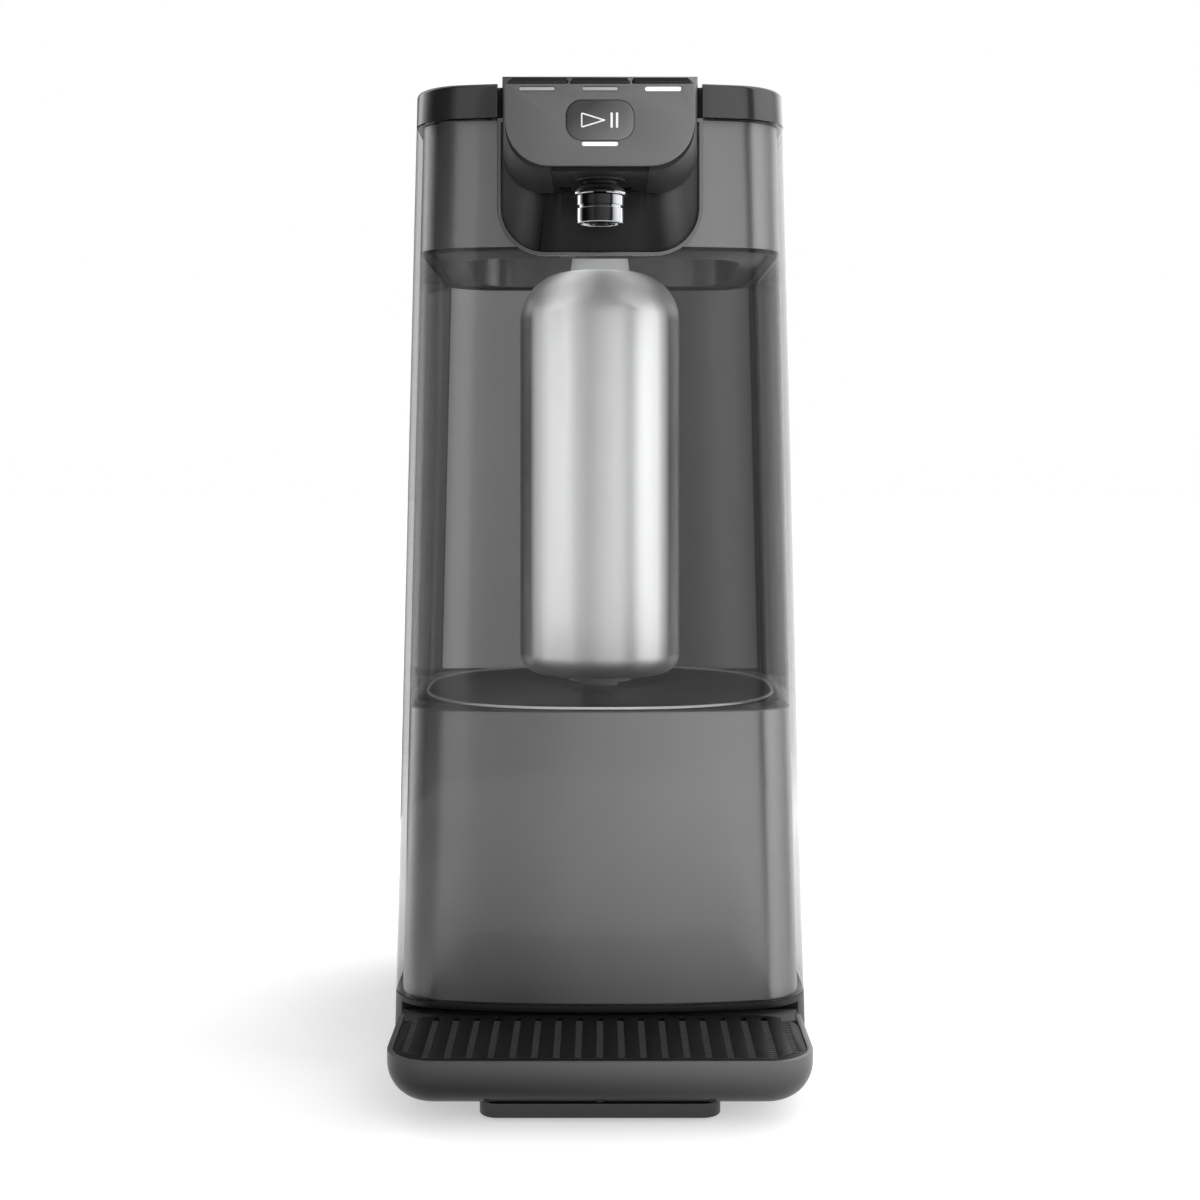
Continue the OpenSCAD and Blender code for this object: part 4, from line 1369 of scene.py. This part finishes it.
@dataclass
class Head:
    """Head with its sloping top, face plate, buttons and light bars."""

    slope: float = 14.6
    flare: float = 4.0041
    corner: float = 14 * MM
    wall: float = 2 * MM
    cover_half: float = 15.5 * MM
    gap: float = 0.3 * MM
    button: tuple[float, float] = (18.6 * MM, 24 * MM)
    button_front: float = 1.5 * MM
    pitch: float = 20 * MM
    rise: float = 0.8 * MM
    play: tuple[float, float] = (21.5 * MM, 12.7 * MM)
    play_corner: float = 4.9 * MM
    play_gap: float = 0.12 * MM
    guide: float = 1.06 * MM
    slot: float = 1.3 * MM
    guide_gap: float = 0.08 * MM
    guides: tuple[str, ...] = (
        "light_bar_left", "light_bar_centre", "light_bar_right", "play_light_bar",
    )
    lit: tuple[str, ...] = ("light_bar_right", "play_light_bar")
    sign_depth: float = 0.5 * MM
    face: Vector = field(init=False)
    half: float = field(init=False)
    low: float = field(init=False)
    back: float = field(init=False)
    root_back: float = field(init=False)
    top: float = field(init=False)

    def __post_init__(self) -> None:
        """Reads the head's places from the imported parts."""
        face_low, face_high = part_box("head_face")
        shell_low, shell_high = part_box("head_shell")
        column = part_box("front_shell")[0].y
        self.face = Vector((0, face_low.y, face_low.z))
        self.half = face_high.x
        self.low = shell_low.z
        self.back = column - 2.4 * MM
        self.root_back = shell_high.y
        self.top = shell_high.z - (shell_high.y - face_low.y) * math.tan(math.radians(self.slope))

    def leaned(self, made: Work) -> Work:
        """Lays a piece that was drawn level on the sloping top."""
        made.every()
        return made.turn(math.radians(self.slope), "X", (0, self.face.y, self.top))

    def topped(self, made: Work, drop: float) -> Work:
        """Cuts a piece off along the sloping top, drop below it."""
        tilt = math.radians(self.slope)
        normal = Vector((0, -math.sin(tilt), math.cos(tilt)))
        at = Vector((0, self.face.y, self.top)) - normal * drop
        return made.cut(at, normal, drop="over", fill=True).outward()

    def bar(self, name: str, inset: float, low: float, front: float, back: float,
            drop: float) -> Work:
        """Bar with the head's outline that widens towards the column.

        Args:
            name: name of the piece.
            inset: how far inside the head's outline it lies.
            low: height of its underside.
            front: y of its front end.
            back: y of its rear end.
            drop: how far below the sloping top it ends.

        Returns:
            The closed bar.
        """
        half = self.half - inset
        made = Work.u_plate(name, half, low, self.top + 60 * MM, self.corner - inset, front,
                            back - front)
        flare = math.radians(self.flare)
        core = self.half - self.corner

        def widen(at: Vector) -> Vector:
            """Moves a point sideways with its distance from the face."""
            shift = (at.y - self.face.y) * math.tan(flare)
            share = min(1.0, abs(at.x) / core)
            return Vector((at.x + math.copysign(shift * share, at.x), at.y, at.z))

        made.reshape(widen)
        return self.topped(made, drop)

    def well(self, x: float, grow: float, depth: float) -> Work:
        """Cutter for a button's opening in the sloping top."""
        w, length = self.button
        y = self.face.y + self.button_front
        made = Work.slab("well", (x - w / 2 - grow, y - grow, self.top - depth),
                         (x + w / 2 + grow, y + length + grow, self.top + 5 * MM), 2 * MM, 5)
        return self.leaned(made)

    def places(self) -> tuple[tuple[str, float], ...]:
        """Names and x of the three mode buttons."""
        return (("left", -self.pitch), ("centre", 0.0), ("right", self.pitch))

    def shell(self) -> None:
        """Hollow housing of the head and its root behind the lid's notch."""
        front = self.face.y + 2.3 * MM
        made = self.bar("head_body", 0.0, self.low, front, self.back, 0.0)
        way_in = self.cover_half + 0.1 * MM
        made.carve(
            self.bar("hollow", self.wall, self.low + self.wall, front - 0.1 * MM,
                     self.back + 5 * MM, self.wall),
            Work.block("way_in", (-way_in, front - 0.1 * MM, self.low - MM),
                       (way_in, self.back + MM, self.low + self.wall + 0.05 * MM)),
        )
        made.carve(*(self.well(x, self.gap, 10 * MM) for _, x in self.places()))
        root = self.bar("root", 0.0, self.low, self.back - MM, self.root_back, 0.0)
        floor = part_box("front_shell")[1].z + 0.5 * MM
        root.cut((0, 0, floor), ALONG_Z, drop="under", fill=True).outward()
        made.grow(root).soften(0.7 * MM, 4)
        made.done("satin_grey", "cabinet", "head_shell", finish=HEAD_SATIN)

    def plate(self) -> None:
        """Face plate with the openings for the play button and the light bars."""
        depth = 2.2 * MM
        made = Work.u_plate("face_plate", self.half, self.face.z, self.top + 20 * MM,
                            self.corner, self.face.y, depth, 18)
        self.topped(made, 0.1 * MM)
        w, h = self.play
        cutters = [Work.tile("play", (0, self.face.y - MM, middle("play_button").z),
                             (w + 2 * self.play_gap, h + 2 * self.play_gap),
                             self.play_corner + self.play_gap, 6 * MM, 12)]
        for node in self.guides:
            low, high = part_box(node)
            at = middle(node)
            height = self.slot + 2 * self.guide_gap
            cutters.append(Work.tile(
                "slot", (at.x, self.face.y - MM, at.z),
                (high.x - low.x + 2 * self.guide_gap, height), height / 2, 1.9 * MM, 6,
            ))
        cutters += [self.well(x, self.gap, 10 * MM) for _, x in self.places()]
        made.carve(*cutters)
        made.soften(0.45 * MM, 3)
        made.done("satin_grey", "cabinet", "head_face", finish=FACE_SATIN_PAINTED_LIGHT)

    def mode_buttons(self) -> None:
        """Three long caps on the sloping top, each with a grey front lip."""
        half, length = self.button[0] / 2, self.button[1]
        y, end = self.face.y + self.button_front, self.face.y + self.button_front + length
        top = self.top + self.rise
        cap = Work.slab("cap", (-half, y, top - 3 * MM), (half, end, top), 1.8 * MM, 6)
        cap.soften(0.4 * MM, 3)
        cap.grow(Work.block("stem", (-4 * MM, y + 10 * MM, top - 4.4 * MM),
                            (4 * MM, y + 18 * MM, top - 2.9 * MM)))
        inner = half - 0.3 * MM
        lip = Work.slab("lip", (-inner, y - 0.25 * MM, top - 1.5 * MM),
                        (inner, y + 1.2 * MM, top - 0.15 * MM), 0.6 * MM, 4)
        lip.soften(0.3 * MM, 3)
        rim = Work.slab("rim", (-inner, end - 1.4 * MM, top - MM),
                        (inner, end - 0.1 * MM, top + 0.12 * MM), 0.5 * MM, 4)
        rim.soften(0.12 * MM, 2)
        looks = ((cap, "gloss_black", KEY_BLACK), (lip, "satin_dark", HEAD_SATIN),
                 (rim, "satin_dark", KEY_BLACK))
        for side, x in self.places():
            body = f"mode_button_{side}"
            for piece, slot, finish in looks:
                made = piece.copied(f"mode_{piece.obj.name}_{side}")
                self.leaned(made).move((x, 0, 0))
                replaced = (body,) if piece is cap else ()
                made.done(slot, body, *replaced, finish=finish)
        Work.clear()
        for piece, _, _ in looks:
            bpy.data.objects.remove(piece.obj)

    def play_button(self) -> None:
        """Dished gloss button with its raised play and pause sign."""
        y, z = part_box("play_button")[0].y, middle("play_button").z
        made = Work.tile("play_cap", (0, y, z), self.play, self.play_corner, 2.7 * MM, 14)
        made.pick(Pick.FACES, lambda at, way: way.y < -0.9)
        made.inset(0.5 * MM, 0.12 * MM)
        made.inset(2.2 * MM, -0.25 * MM)
        made.soften(0.2 * MM, 3, 20)
        made.done("gloss_black", "play_button", "play_button", angle=60, finish=PLAY_GLOSS_PAINTED_REFLECTION)
        self.sign(z, y)

    def sign(self, z: float, y: float) -> None:
        """Outlined play triangle and two pause bars."""
        front = y + 0.02 * MM
        left, right, tall = -6.0 * MM, 2.1 * MM, 2.5 * MM
        line = Work.sheet("play_sign", (left, front, z - tall), (right, front, z + tall))
        line.pick(Pick.VERTS, lambda at, way: at.x > 0)
        bpy.ops.mesh.merge(type="CENTER")
        line.pick(Pick.VERTS, lambda at, way: True)
        line.bevel(0.7 * MM, 5, corners=True)
        line.pick(Pick.FACES, lambda at, way: True)
        line.inset(0.42 * MM).remove()
        line.every().extrude((0, self.sign_depth, 0)).outward()
        line.done("light_on", "play_button", finish=SIGN_LIT)
        for side, x in (("left", 3.7 * MM), ("right", 5.4 * MM)):
            bar = Work.tile(f"pause_sign_{side}", (x, front, z), (0.72 * MM, 4.9 * MM),
                            0.3 * MM, self.sign_depth, 4)
            bar.done("light_on", "play_button", finish=SIGN_LIT)

    def lights(self) -> None:
        """Four slim light guides in the face."""
        for node in self.guides:
            low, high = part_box(node)
            mid = middle(node)
            made = Work.tile(f"guide_{node}", (mid.x, low.y, mid.z),
                             (high.x - low.x, self.guide), self.guide * 0.49,
                             high.y - low.y, 6)
            made.soften(0.15 * MM, 2, 60)
            made.done("light_on" if node in self.lit else "light_off", "cabinet", node)

    def build(self) -> None:
        """Makes the head."""
        self.shell()
        self.plate()
        self.mode_buttons()
        self.play_button()
        self.lights()


@dataclass
class Spout:
    """Gloss panel behind the spout, its bright bead, and the turned spout."""

    corner: float = 17 * MM
    bead: float = 1.4 * MM
    bore: float = 2.2 * MM
    strip: float = 2.35 * MM
    way: tuple[float, float] = (309 * MM, 325 * MM)
    crease_top: float = 15 * MM
    crease_low: float = 20.5 * MM

    def bowed(self, made: Work, front: float, out: float) -> Work:
        """Bends a flat plate round the column's front, out in front of it."""
        for i in range(-15, 16):
            made.cut((i * self.strip, 0, 0), (1, 0, 0))
        centre_y = front + BOW_R

        def bend(at: Vector) -> Vector:
            """Lays a point on the bow, keeping its depth."""
            radius = BOW_R + out - at.y
            return Vector((at.x, centre_y - math.sqrt(radius**2 - at.x**2), at.z))

        return made.reshape(bend)

    def panel(self) -> None:
        """Gloss plate with a slightly raised middle that widens downwards."""
        low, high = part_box("spout_panel")
        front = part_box("front_shell")[0].y
        half, depth = high.x, 1.2 * MM
        made = Work.u_plate("panel", half, low.z, high.z, self.corner - 1.5 * MM, 0.0, depth)
        height = high.z - low.z
        lean = (self.crease_low - self.crease_top) / height
        for side in (-1, 1):
            normal = Vector((side, 0, lean)).normalized()
            at = Vector((side * self.crease_low, 0, low.z))
            made.cut(at, normal)
            made.cut(at + normal * 0.8 * MM, normal)

        def facet(at: Vector) -> Vector:
            """Sets the sides back behind the middle."""
            edge = self.crease_low - lean * (at.z - low.z)
            beyond = max(0.0, abs(at.x) - edge)
            back = min(0.45 * MM, beyond * 0.5) + max(0.0, beyond - 0.8 * MM) * 0.012
            return Vector((at.x, at.y + (back if at.y < depth / 2 else 0.0), at.z))

        made.reshape(facet)
        self.bowed(made, front, 1.6 * MM)
        made.carve(Work.block("way", (-13 * MM, front - 10 * MM, self.way[0]),
                              (13 * MM, front + 12 * MM, self.way[1])))
        made.soften(0.15 * MM, 2, 50)
        made.done("gloss_black", "cabinet", "spout_panel", angle=30, finish=PANEL_GLOSS_PAINTED_LIGHT)

    def rim(self) -> None:
        """Slim bright bead round the panel."""
        low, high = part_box("panel_bead")
        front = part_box("front_shell")[0].y
        made = Work.u_plate("bead", high.x, low.z, high.z, self.corner, 0.0, 1.7 * MM, 18)
        inner = Work.u_plate("inner", high.x - self.bead, low.z + self.bead,
                             high.z - self.bead, self.corner - self.bead, -5 * MM, 10 * MM, 18)
        made.carve(inner)
        self.bowed(made, front, 2.1 * MM)
        made.soften(0.45 * MM, 4, 50)
        made.done("chrome", "cabinet", "panel_bead", finish=BEAD_METAL_PAINTED_SHADE)

    def spout(self) -> None:
        """Neck, domed collar, barrel with its groove, and the aerator."""
        low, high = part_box("spout_barrel")
        centre = (0, middle("spout_barrel").y, 0)
        r, b, t, bore = high.x, low.z, high.z, self.bore
        neck_low, neck_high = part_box("spout_neck")
        z = neck_low.z
        neck = Work.turned("neck_spout", [
            (bore, z), (5.5 * MM, z), (5.6 * MM, z + 0.2 * MM), (5.6 * MM, z + 0.9 * MM),
            (7.9 * MM, z + 1.1 * MM), (8.2 * MM, z + 1.4 * MM), (8.2 * MM, z + 3.0 * MM),
            (7.0 * MM, z + 3.4 * MM), (5.6 * MM, z + 3.6 * MM), (5.6 * MM, neck_high.z),
            (bore, neck_high.z), (bore, z),
        ], centre, 72)
        neck.done("matte_black", "cabinet", "spout_neck")
        c_low, c_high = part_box("spout_collar")
        z, edge = c_low.z, c_high.x
        dome = arc((edge - 3.3 * MM, z + 0.5 * MM), 3.1 * MM, 6, 84, 14)
        collar = Work.turned("collar_spout", [
            (bore, z), (edge - 0.3 * MM, z), (edge, z + 0.25 * MM), (edge, z + 0.7 * MM),
            *dome, (5.5 * MM, c_high.z), (bore, c_high.z), (bore, z),
        ], centre, 96)
        collar.done("chrome", "cabinet", "spout_collar", angle=25)
        barrel = Work.turned("barrel_spout", [
            (bore, t), (r - 0.3 * MM, t), (r, t - 0.25 * MM), (r, b + 5.75 * MM),
            (r - 0.25 * MM, b + 5.6 * MM), (r - 0.6 * MM, b + 5.6 * MM),
            (r - 0.6 * MM, b + 4.8 * MM), (r - 0.25 * MM, b + 4.8 * MM),
            (r, b + 4.65 * MM), (r, b + 0.6 * MM), (r - 0.2 * MM, b + 0.15 * MM),
            (r - 0.6 * MM, b), (6.5 * MM, b), (6.3 * MM, b + 0.2 * MM),
            (6.3 * MM, b + 2.4 * MM), (bore, b + 2.4 * MM), (bore, t),
        ], centre, 96)
        barrel.done("chrome", "cabinet", "spout_barrel", angle=25)

    def build(self) -> None:
        """Makes the panel, the bead and the spout."""
        self.panel()
        self.rim()
        self.spout()


# ----------------------------------------------------------------- tray and foot


@dataclass
class Tray:
    """Slide-in drip tray, its ribbed grille and the foot under it."""

    corner: float = 16 * MM
    fillet: float = 12 * MM
    wall: float = 1.8 * MM
    ribs: tuple[float, ...] = (-36 * MM, 0.0, 36 * MM)
    edge: float = 13.9 * MM
    rows: int = 19
    rung_pitch: float = 1.9 * MM
    row_w: float = 2.2 * MM

    def tray(self) -> None:
        """Dish with deeply rounded lower edges."""
        low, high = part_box("drip_tray")
        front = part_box("front_shell")[0].y
        made = Work.block("tray", low, high)
        made.pick(Pick.EDGES, lambda at, way: abs(way.z) > SQUARE_ON and at.y < low.y + MM)
        made.bevel(self.corner, 14)
        made.pick(Pick.EDGES, lambda at, way: at.z < low.z + NEAR and at.y < high.y - NEAR)
        made.bevel(self.fillet, 12).outward()
        inner = Work.block("hollow", low + Vector((self.wall, self.wall, 2 * MM)),
                           (high.x - self.wall, high.y - self.wall, high.z + 5 * MM))
        inner.pick(Pick.EDGES, lambda at, way: abs(way.z) > SQUARE_ON
                   and at.y < low.y + 5 * MM)
        inner.bevel(self.corner - self.wall, 14)
        inner.pick(Pick.EDGES, lambda at, way: at.z < low.z + 2.1 * MM
                   and at.y < high.y - self.wall - NEAR)
        made.carve(inner.bevel(self.fillet - self.wall, 12).outward())
        deck = high.z - 2.2 * MM
        made.carve(Work.block("shelf_space", (low.x - MM, front - 0.4 * MM, deck),
                              (high.x + MM, high.y + MM, high.z + 6 * MM)))
        shelf = Work.block("shelf", (low.x + MM, front - 0.4 * MM, deck - 1.6 * MM),
                           (high.x - MM, high.y - MM, deck))
        made.grow(shelf)
        made.grow(*(Work.block("rib", (x - MM, low.y + 5 * MM, low.z + 1.5 * MM),
                               (x + MM, front, high.z - 2.3 * MM)) for x in self.ribs))
        made.soften(0.5 * MM, 3, 50)
        made.done("satin_dark", "drip_tray", "drip_tray", finish=TRAY_SATIN_PAINTED_LIGHT)

    def grille(self) -> None:
        """Plate with rows of narrow openings, each crossed by fine rungs."""
        low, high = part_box("grille")
        made = Work.slab("grille_plate", low, high, self.edge, 12)
        span = high.x - low.x - 8 * MM
        pitch = span / (self.rows - 1)
        first, last = low.y + 3.2 * MM, high.y - 2.5 * MM
        cutters = []
        for i in range(self.rows):
            x = (i - (self.rows - 1) / 2) * pitch
            start = first + (6 * MM if i in (0, self.rows - 1) else 0.0)
            cutters.append(Work.slab(
                "row", (x - self.row_w / 2, start, low.z - MM),
                (x + self.row_w / 2, last, high.z + MM), self.row_w / 2 - NEAR, 4,
            ))
        made.carve(cutters[0].join(*cutters[1:]))
        made.soften(0.2 * MM, 2, 50)
        made.done("matte_black", "grille", "grille", finish=GRILLE_BLACK)
        self.rungs(low, high, pitch, first, last)

    def rungs(self, low: Vector, high: Vector, pitch: float, first: float, last: float) -> None:
        """Fine cross bars in the rows, drawn once and repeated."""
        count = int((last - first - 2 * MM) / self.rung_pitch)
        rung = Work.block("grille_rungs",
                          (-self.row_w / 2 - 0.1 * MM, first + 1.2 * MM, high.z - 1.0 * MM),
                          (self.row_w / 2 + 0.1 * MM, first + 2.1 * MM, high.z - 0.12 * MM))
        rung.pick(Pick.EDGES, lambda at, way: abs(way.x) > SQUARE_ON
                  and at.z > high.z - 0.5 * MM)
        rung.bevel(0.25 * MM, 2)
        rung.every().move((-(self.rows - 1) / 2 * pitch, 0, 0))
        for number, step in ((count, (0, self.rung_pitch, 0)), (self.rows, (pitch, 0, 0))):
            rung.modify("ARRAY", count=number, use_relative_offset=False,
                        use_constant_offset=True, constant_offset_displace=step)
        corner_x, corner_y = high.x - self.edge, low.y + self.edge
        reach = self.edge - 2.6 * MM
        rung.pick(Pick.FACES, lambda at, way: abs(at.x) > corner_x and at.y < corner_y
                  and math.hypot(abs(at.x) - corner_x, at.y - corner_y) > reach)
        rung.remove()
        rung.done("satin_dark", "grille")

    def foot(self) -> None:
        """Foot under the tray."""
        low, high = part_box("front_foot")
        made = Work.slab("foot_front", low, high, 6 * MM, 8)
        made.pick(Pick.EDGES, lambda at, way: at.z < low.z + NEAR)
        made.bevel(0.8 * MM, 3)
        made.done("satin_dark", "cabinet", "front_foot")

    def build(self) -> None:
        """Makes the tray, the grille and the foot."""
        self.tray()
        self.grille()
        self.foot()


# ------------------------------------------------------------------ the studio


@dataclass(frozen=True)
class Lamp:
    """Soft panel of light that reaches only some pieces.

    The azimuth runs in degrees from the front towards the right, and the height, the
    distance, the size and the height of the point that it faces are in metres. Other
    pieces shade it only if it has a shadow.
    """

    name: str
    azimuth: float
    height: float
    distance: float
    size: tuple[float, float]
    radiance: float
    pieces: tuple[str, ...]
    aim: float = 0.18
    shadow: bool = False

    def hang(self) -> None:
        """Makes the light and links it to its pieces."""
        data = bpy.data.lights.new(self.name, "AREA")
        data.shape = "RECTANGLE"
        data.size, data.size_y = self.size
        data.energy = self.radiance * math.pi * self.size[0] * self.size[1]
        made = bpy.data.objects.new(self.name, data)
        turn = math.radians(self.azimuth)
        made.location = (math.sin(turn) * self.distance, -math.cos(turn) * self.distance,
                         self.height)
        way = Vector((0, 0, self.aim)) - made.location
        made.rotation_euler = way.to_track_quat("-Z", "Y").to_euler()
        made.visible_camera = False
        bpy.context.scene.collection.objects.link(made)
        made.light_linking.receiver_collection = self.group("lit", self.pieces)
        if not self.shadow:
            made.light_linking.blocker_collection = self.group("stops", ("floor",))

    def group(self, use: str, names: tuple[str, ...]) -> bpy.types.Collection:
        """A collection of the named pieces."""
        made = bpy.data.collections.new(f"{self.name}_{use}")
        for name in names:
            made.objects.link(bpy.data.objects[name])
        return made


LAMPS = (
    Lamp("cartridge_side", -62, 0.2, 0.34, (0.3, 0.7), 0.9, ("canister",), 0.25),
    Lamp("cartridge_top_left", -85, 0.72, 0.3, (0.3, 0.34), 9.0, ("canister",), 0.25),
    Lamp("cartridge_top_right", 85, 0.72, 0.3, (0.3, 0.34), 6.0, ("canister",), 0.25),
    Lamp("cartridge_top_front", 0, 0.74, 0.25, (0.4, 0.3), 2.5, ("canister",), 0.25),
    Lamp("window_left", -50, 0.2, 0.3, (0.2, 0.5), 1.7, ("back_panel",)),
    Lamp("deck_front", 0, 0.2, 0.3, (0.3, 0.3), 1.8, ("deck_ring", "neck")),
    Lamp("gloss_strip", -46, 0.54, 0.36, (0.27, 0.92), 1.2, ("shell_front",), 0.54, True),
)


@dataclass
class Studio:
    """Pale floor, light tent and the camera."""

    eye_height: float = 207 * MM
    eye_distance: float = 620 * MM
    lens: float = 54.0
    sensor: float = 36.0
    shift_down: float = -0.1016
    floor_size: float = 30.0
    floor_drop: float = 0.2 * MM
    floor_tone: float = 0.8
    floor_glow: float = 0.45
    near_r: float = 0.1
    near_rise: float = 0.6
    far_fall: float = 0.52
    blend: float = 0.3
    sky: float = 0.7
    tent_r: float = 0.42
    tent_height: float = 1.5
    tent_top: float = 2.5
    panels: tuple[tuple[float, float], ...] = (
        (-180, 0.15), (-150, 0.15), (-138, 0.5), (-128, 1.6), (-117, 2.4), (-105, 1.4),
        (-90, 0.35), (-78, 0.01), (-60, 0.01), (-46, 0.06), (-36, 0.45), (-31, 0.75),
        (-25, 0.9), (-24, 0.5), (-12, 0.55), (0, 0.9), (30, 1.35), (38, 1.0), (42, 0.1),
        (50, 0.1), (53, 1.8), (66, 2.1), (90, 1.6), (103, 1.0), (112, 1.5), (122, 2.4),
        (160, 1.7), (180, 1.0),
    )

    def camera(self, front: float) -> None:
        """Level camera in front of the column."""
        data = bpy.data.cameras.new("camera")
        data.lens = self.lens
        data.sensor_width = self.sensor
        data.shift_y = self.shift_down
        data.clip_start = 0.01
        made = bpy.data.objects.new("camera", data)
        made.location = (0, front - self.eye_distance, self.eye_height)
        made.rotation_euler = (math.pi / 2, 0, 0)
        bpy.context.scene.collection.objects.link(made)
        bpy.context.scene.camera = made

    def world(self) -> None:
        """White to the eye, gloss and glass, and a plain sky for lighting."""
        world = bpy.data.worlds.new("studio")
        world.use_nodes = True
        bpy.context.scene.world = world
        net = Net(world.node_tree)
        shown = self.shown(net)
        strength = shown * (1.0 - self.sky) + self.sky
        back = net.add("ShaderNodeBackground", {}, {"Color": (*WHITE, 1), "Strength": strength})
        net.add("ShaderNodeOutputWorld", {}, {"Surface": back})

    @staticmethod
    def shown(net: Net) -> Wire:
        """1 where the backdrop is looked at, directly or in gloss or glass."""
        rays = [
            net.add("ShaderNodeLightPath", output=f"Is {kind} Ray")
            for kind in ("Camera", "Glossy", "Transmission")
        ]
        return (rays[0] + rays[1] + rays[2]).limited()

    def floor(self) -> None:
        """Pale floor that keeps a soft shadow near the feet and is white farther out."""
        Work.clear()
        bpy.ops.mesh.primitive_plane_add(
            size=self.floor_size, location=(0, 0, -self.floor_drop)
        )
        made = bpy.context.object
        made.name = "floor"
        material, net = new_material("floor")
        x, y, _ = net.parts()
        away = (x * x + y * y) ** 0.5
        near = ((away - self.near_r) / self.blend).limited() * self.near_rise + self.floor_glow
        far = ((away - self.tent_r) / self.blend).limited() * self.far_fall
        glow = self.shown(net) * (near - far)
        tone = (*(self.floor_tone,) * 3, 1)
        matt = net.add("ShaderNodeBsdfDiffuse", {}, {"Color": tone, "Roughness": 0.5})
        bright = net.add("ShaderNodeEmission", {}, {"Color": (*WHITE, 1), "Strength": glow})
        both = net.add("ShaderNodeAddShader", {}, {0: matt, 1: bright})
        net.add("ShaderNodeOutputMaterial", {}, {"Surface": both})
        made.data.materials.append(material)

    def tent(self) -> None:
        """Round light tent of soft panels, unseen by the eye itself."""
        Work.clear()
        bpy.ops.mesh.primitive_cylinder_add(
            vertices=128, radius=self.tent_r, depth=self.tent_height,
            end_fill_type="NOTHING", location=(0, 0, self.tent_height / 2),
        )
        bpy.ops.object.transform_apply(location=True)
        made = bpy.context.object
        made.name = "tent"
        material, net = new_material("tent")
        x, y, _ = net.parts()
        turn = x.heading(y * -1.0) / math.tau + 0.5
        stops = [(0.5 + angle / 360.0, level / self.tent_top) for angle, level in self.panels]
        level = net.add("ShaderNodeValToRGB", {"stops": stops}, {0: turn})
        glow = net.add("ShaderNodeEmission", {}, {"Color": level, "Strength": self.tent_top})
        net.add("ShaderNodeOutputMaterial", {}, {"Surface": glow})
        made.data.materials.append(material)
        made.visible_camera = False
        made.visible_shadow = False

    def build(self, front: float) -> None:
        """Sets up the whole studio."""
        self.camera(front)
        self.floor()
        self.tent()
        self.world()
        bpy.context.scene.view_settings.view_transform = "Standard"


def dress_nodes() -> None:
    """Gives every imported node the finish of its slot."""
    for row in frame["record"]["subparts"]:
        obj = frame["nodes"][row["node"]]
        obj.data.materials.clear()
        finish = NODE_FINISH.get(row["node"], FINISH_OF[row["material_slot"]])
        obj.data.materials.append(finish.material())
        log.info("%s: %s", row["node"], row["material_slot"])


def main() -> None:
    """Builds the dispenser in order and reports each piece."""
    logging.basicConfig(level=logging.INFO, format="%(message)s")
    dress_nodes()
    column = Column()
    Studio().build(column.low.y)
    column.build()
    Inside(column).build()
    Filter().build()
    Head().build()
    Spout().build()
    Tray().build()
    for lamp in LAMPS:
        lamp.hang()


if __name__ == "__main__":
    main()
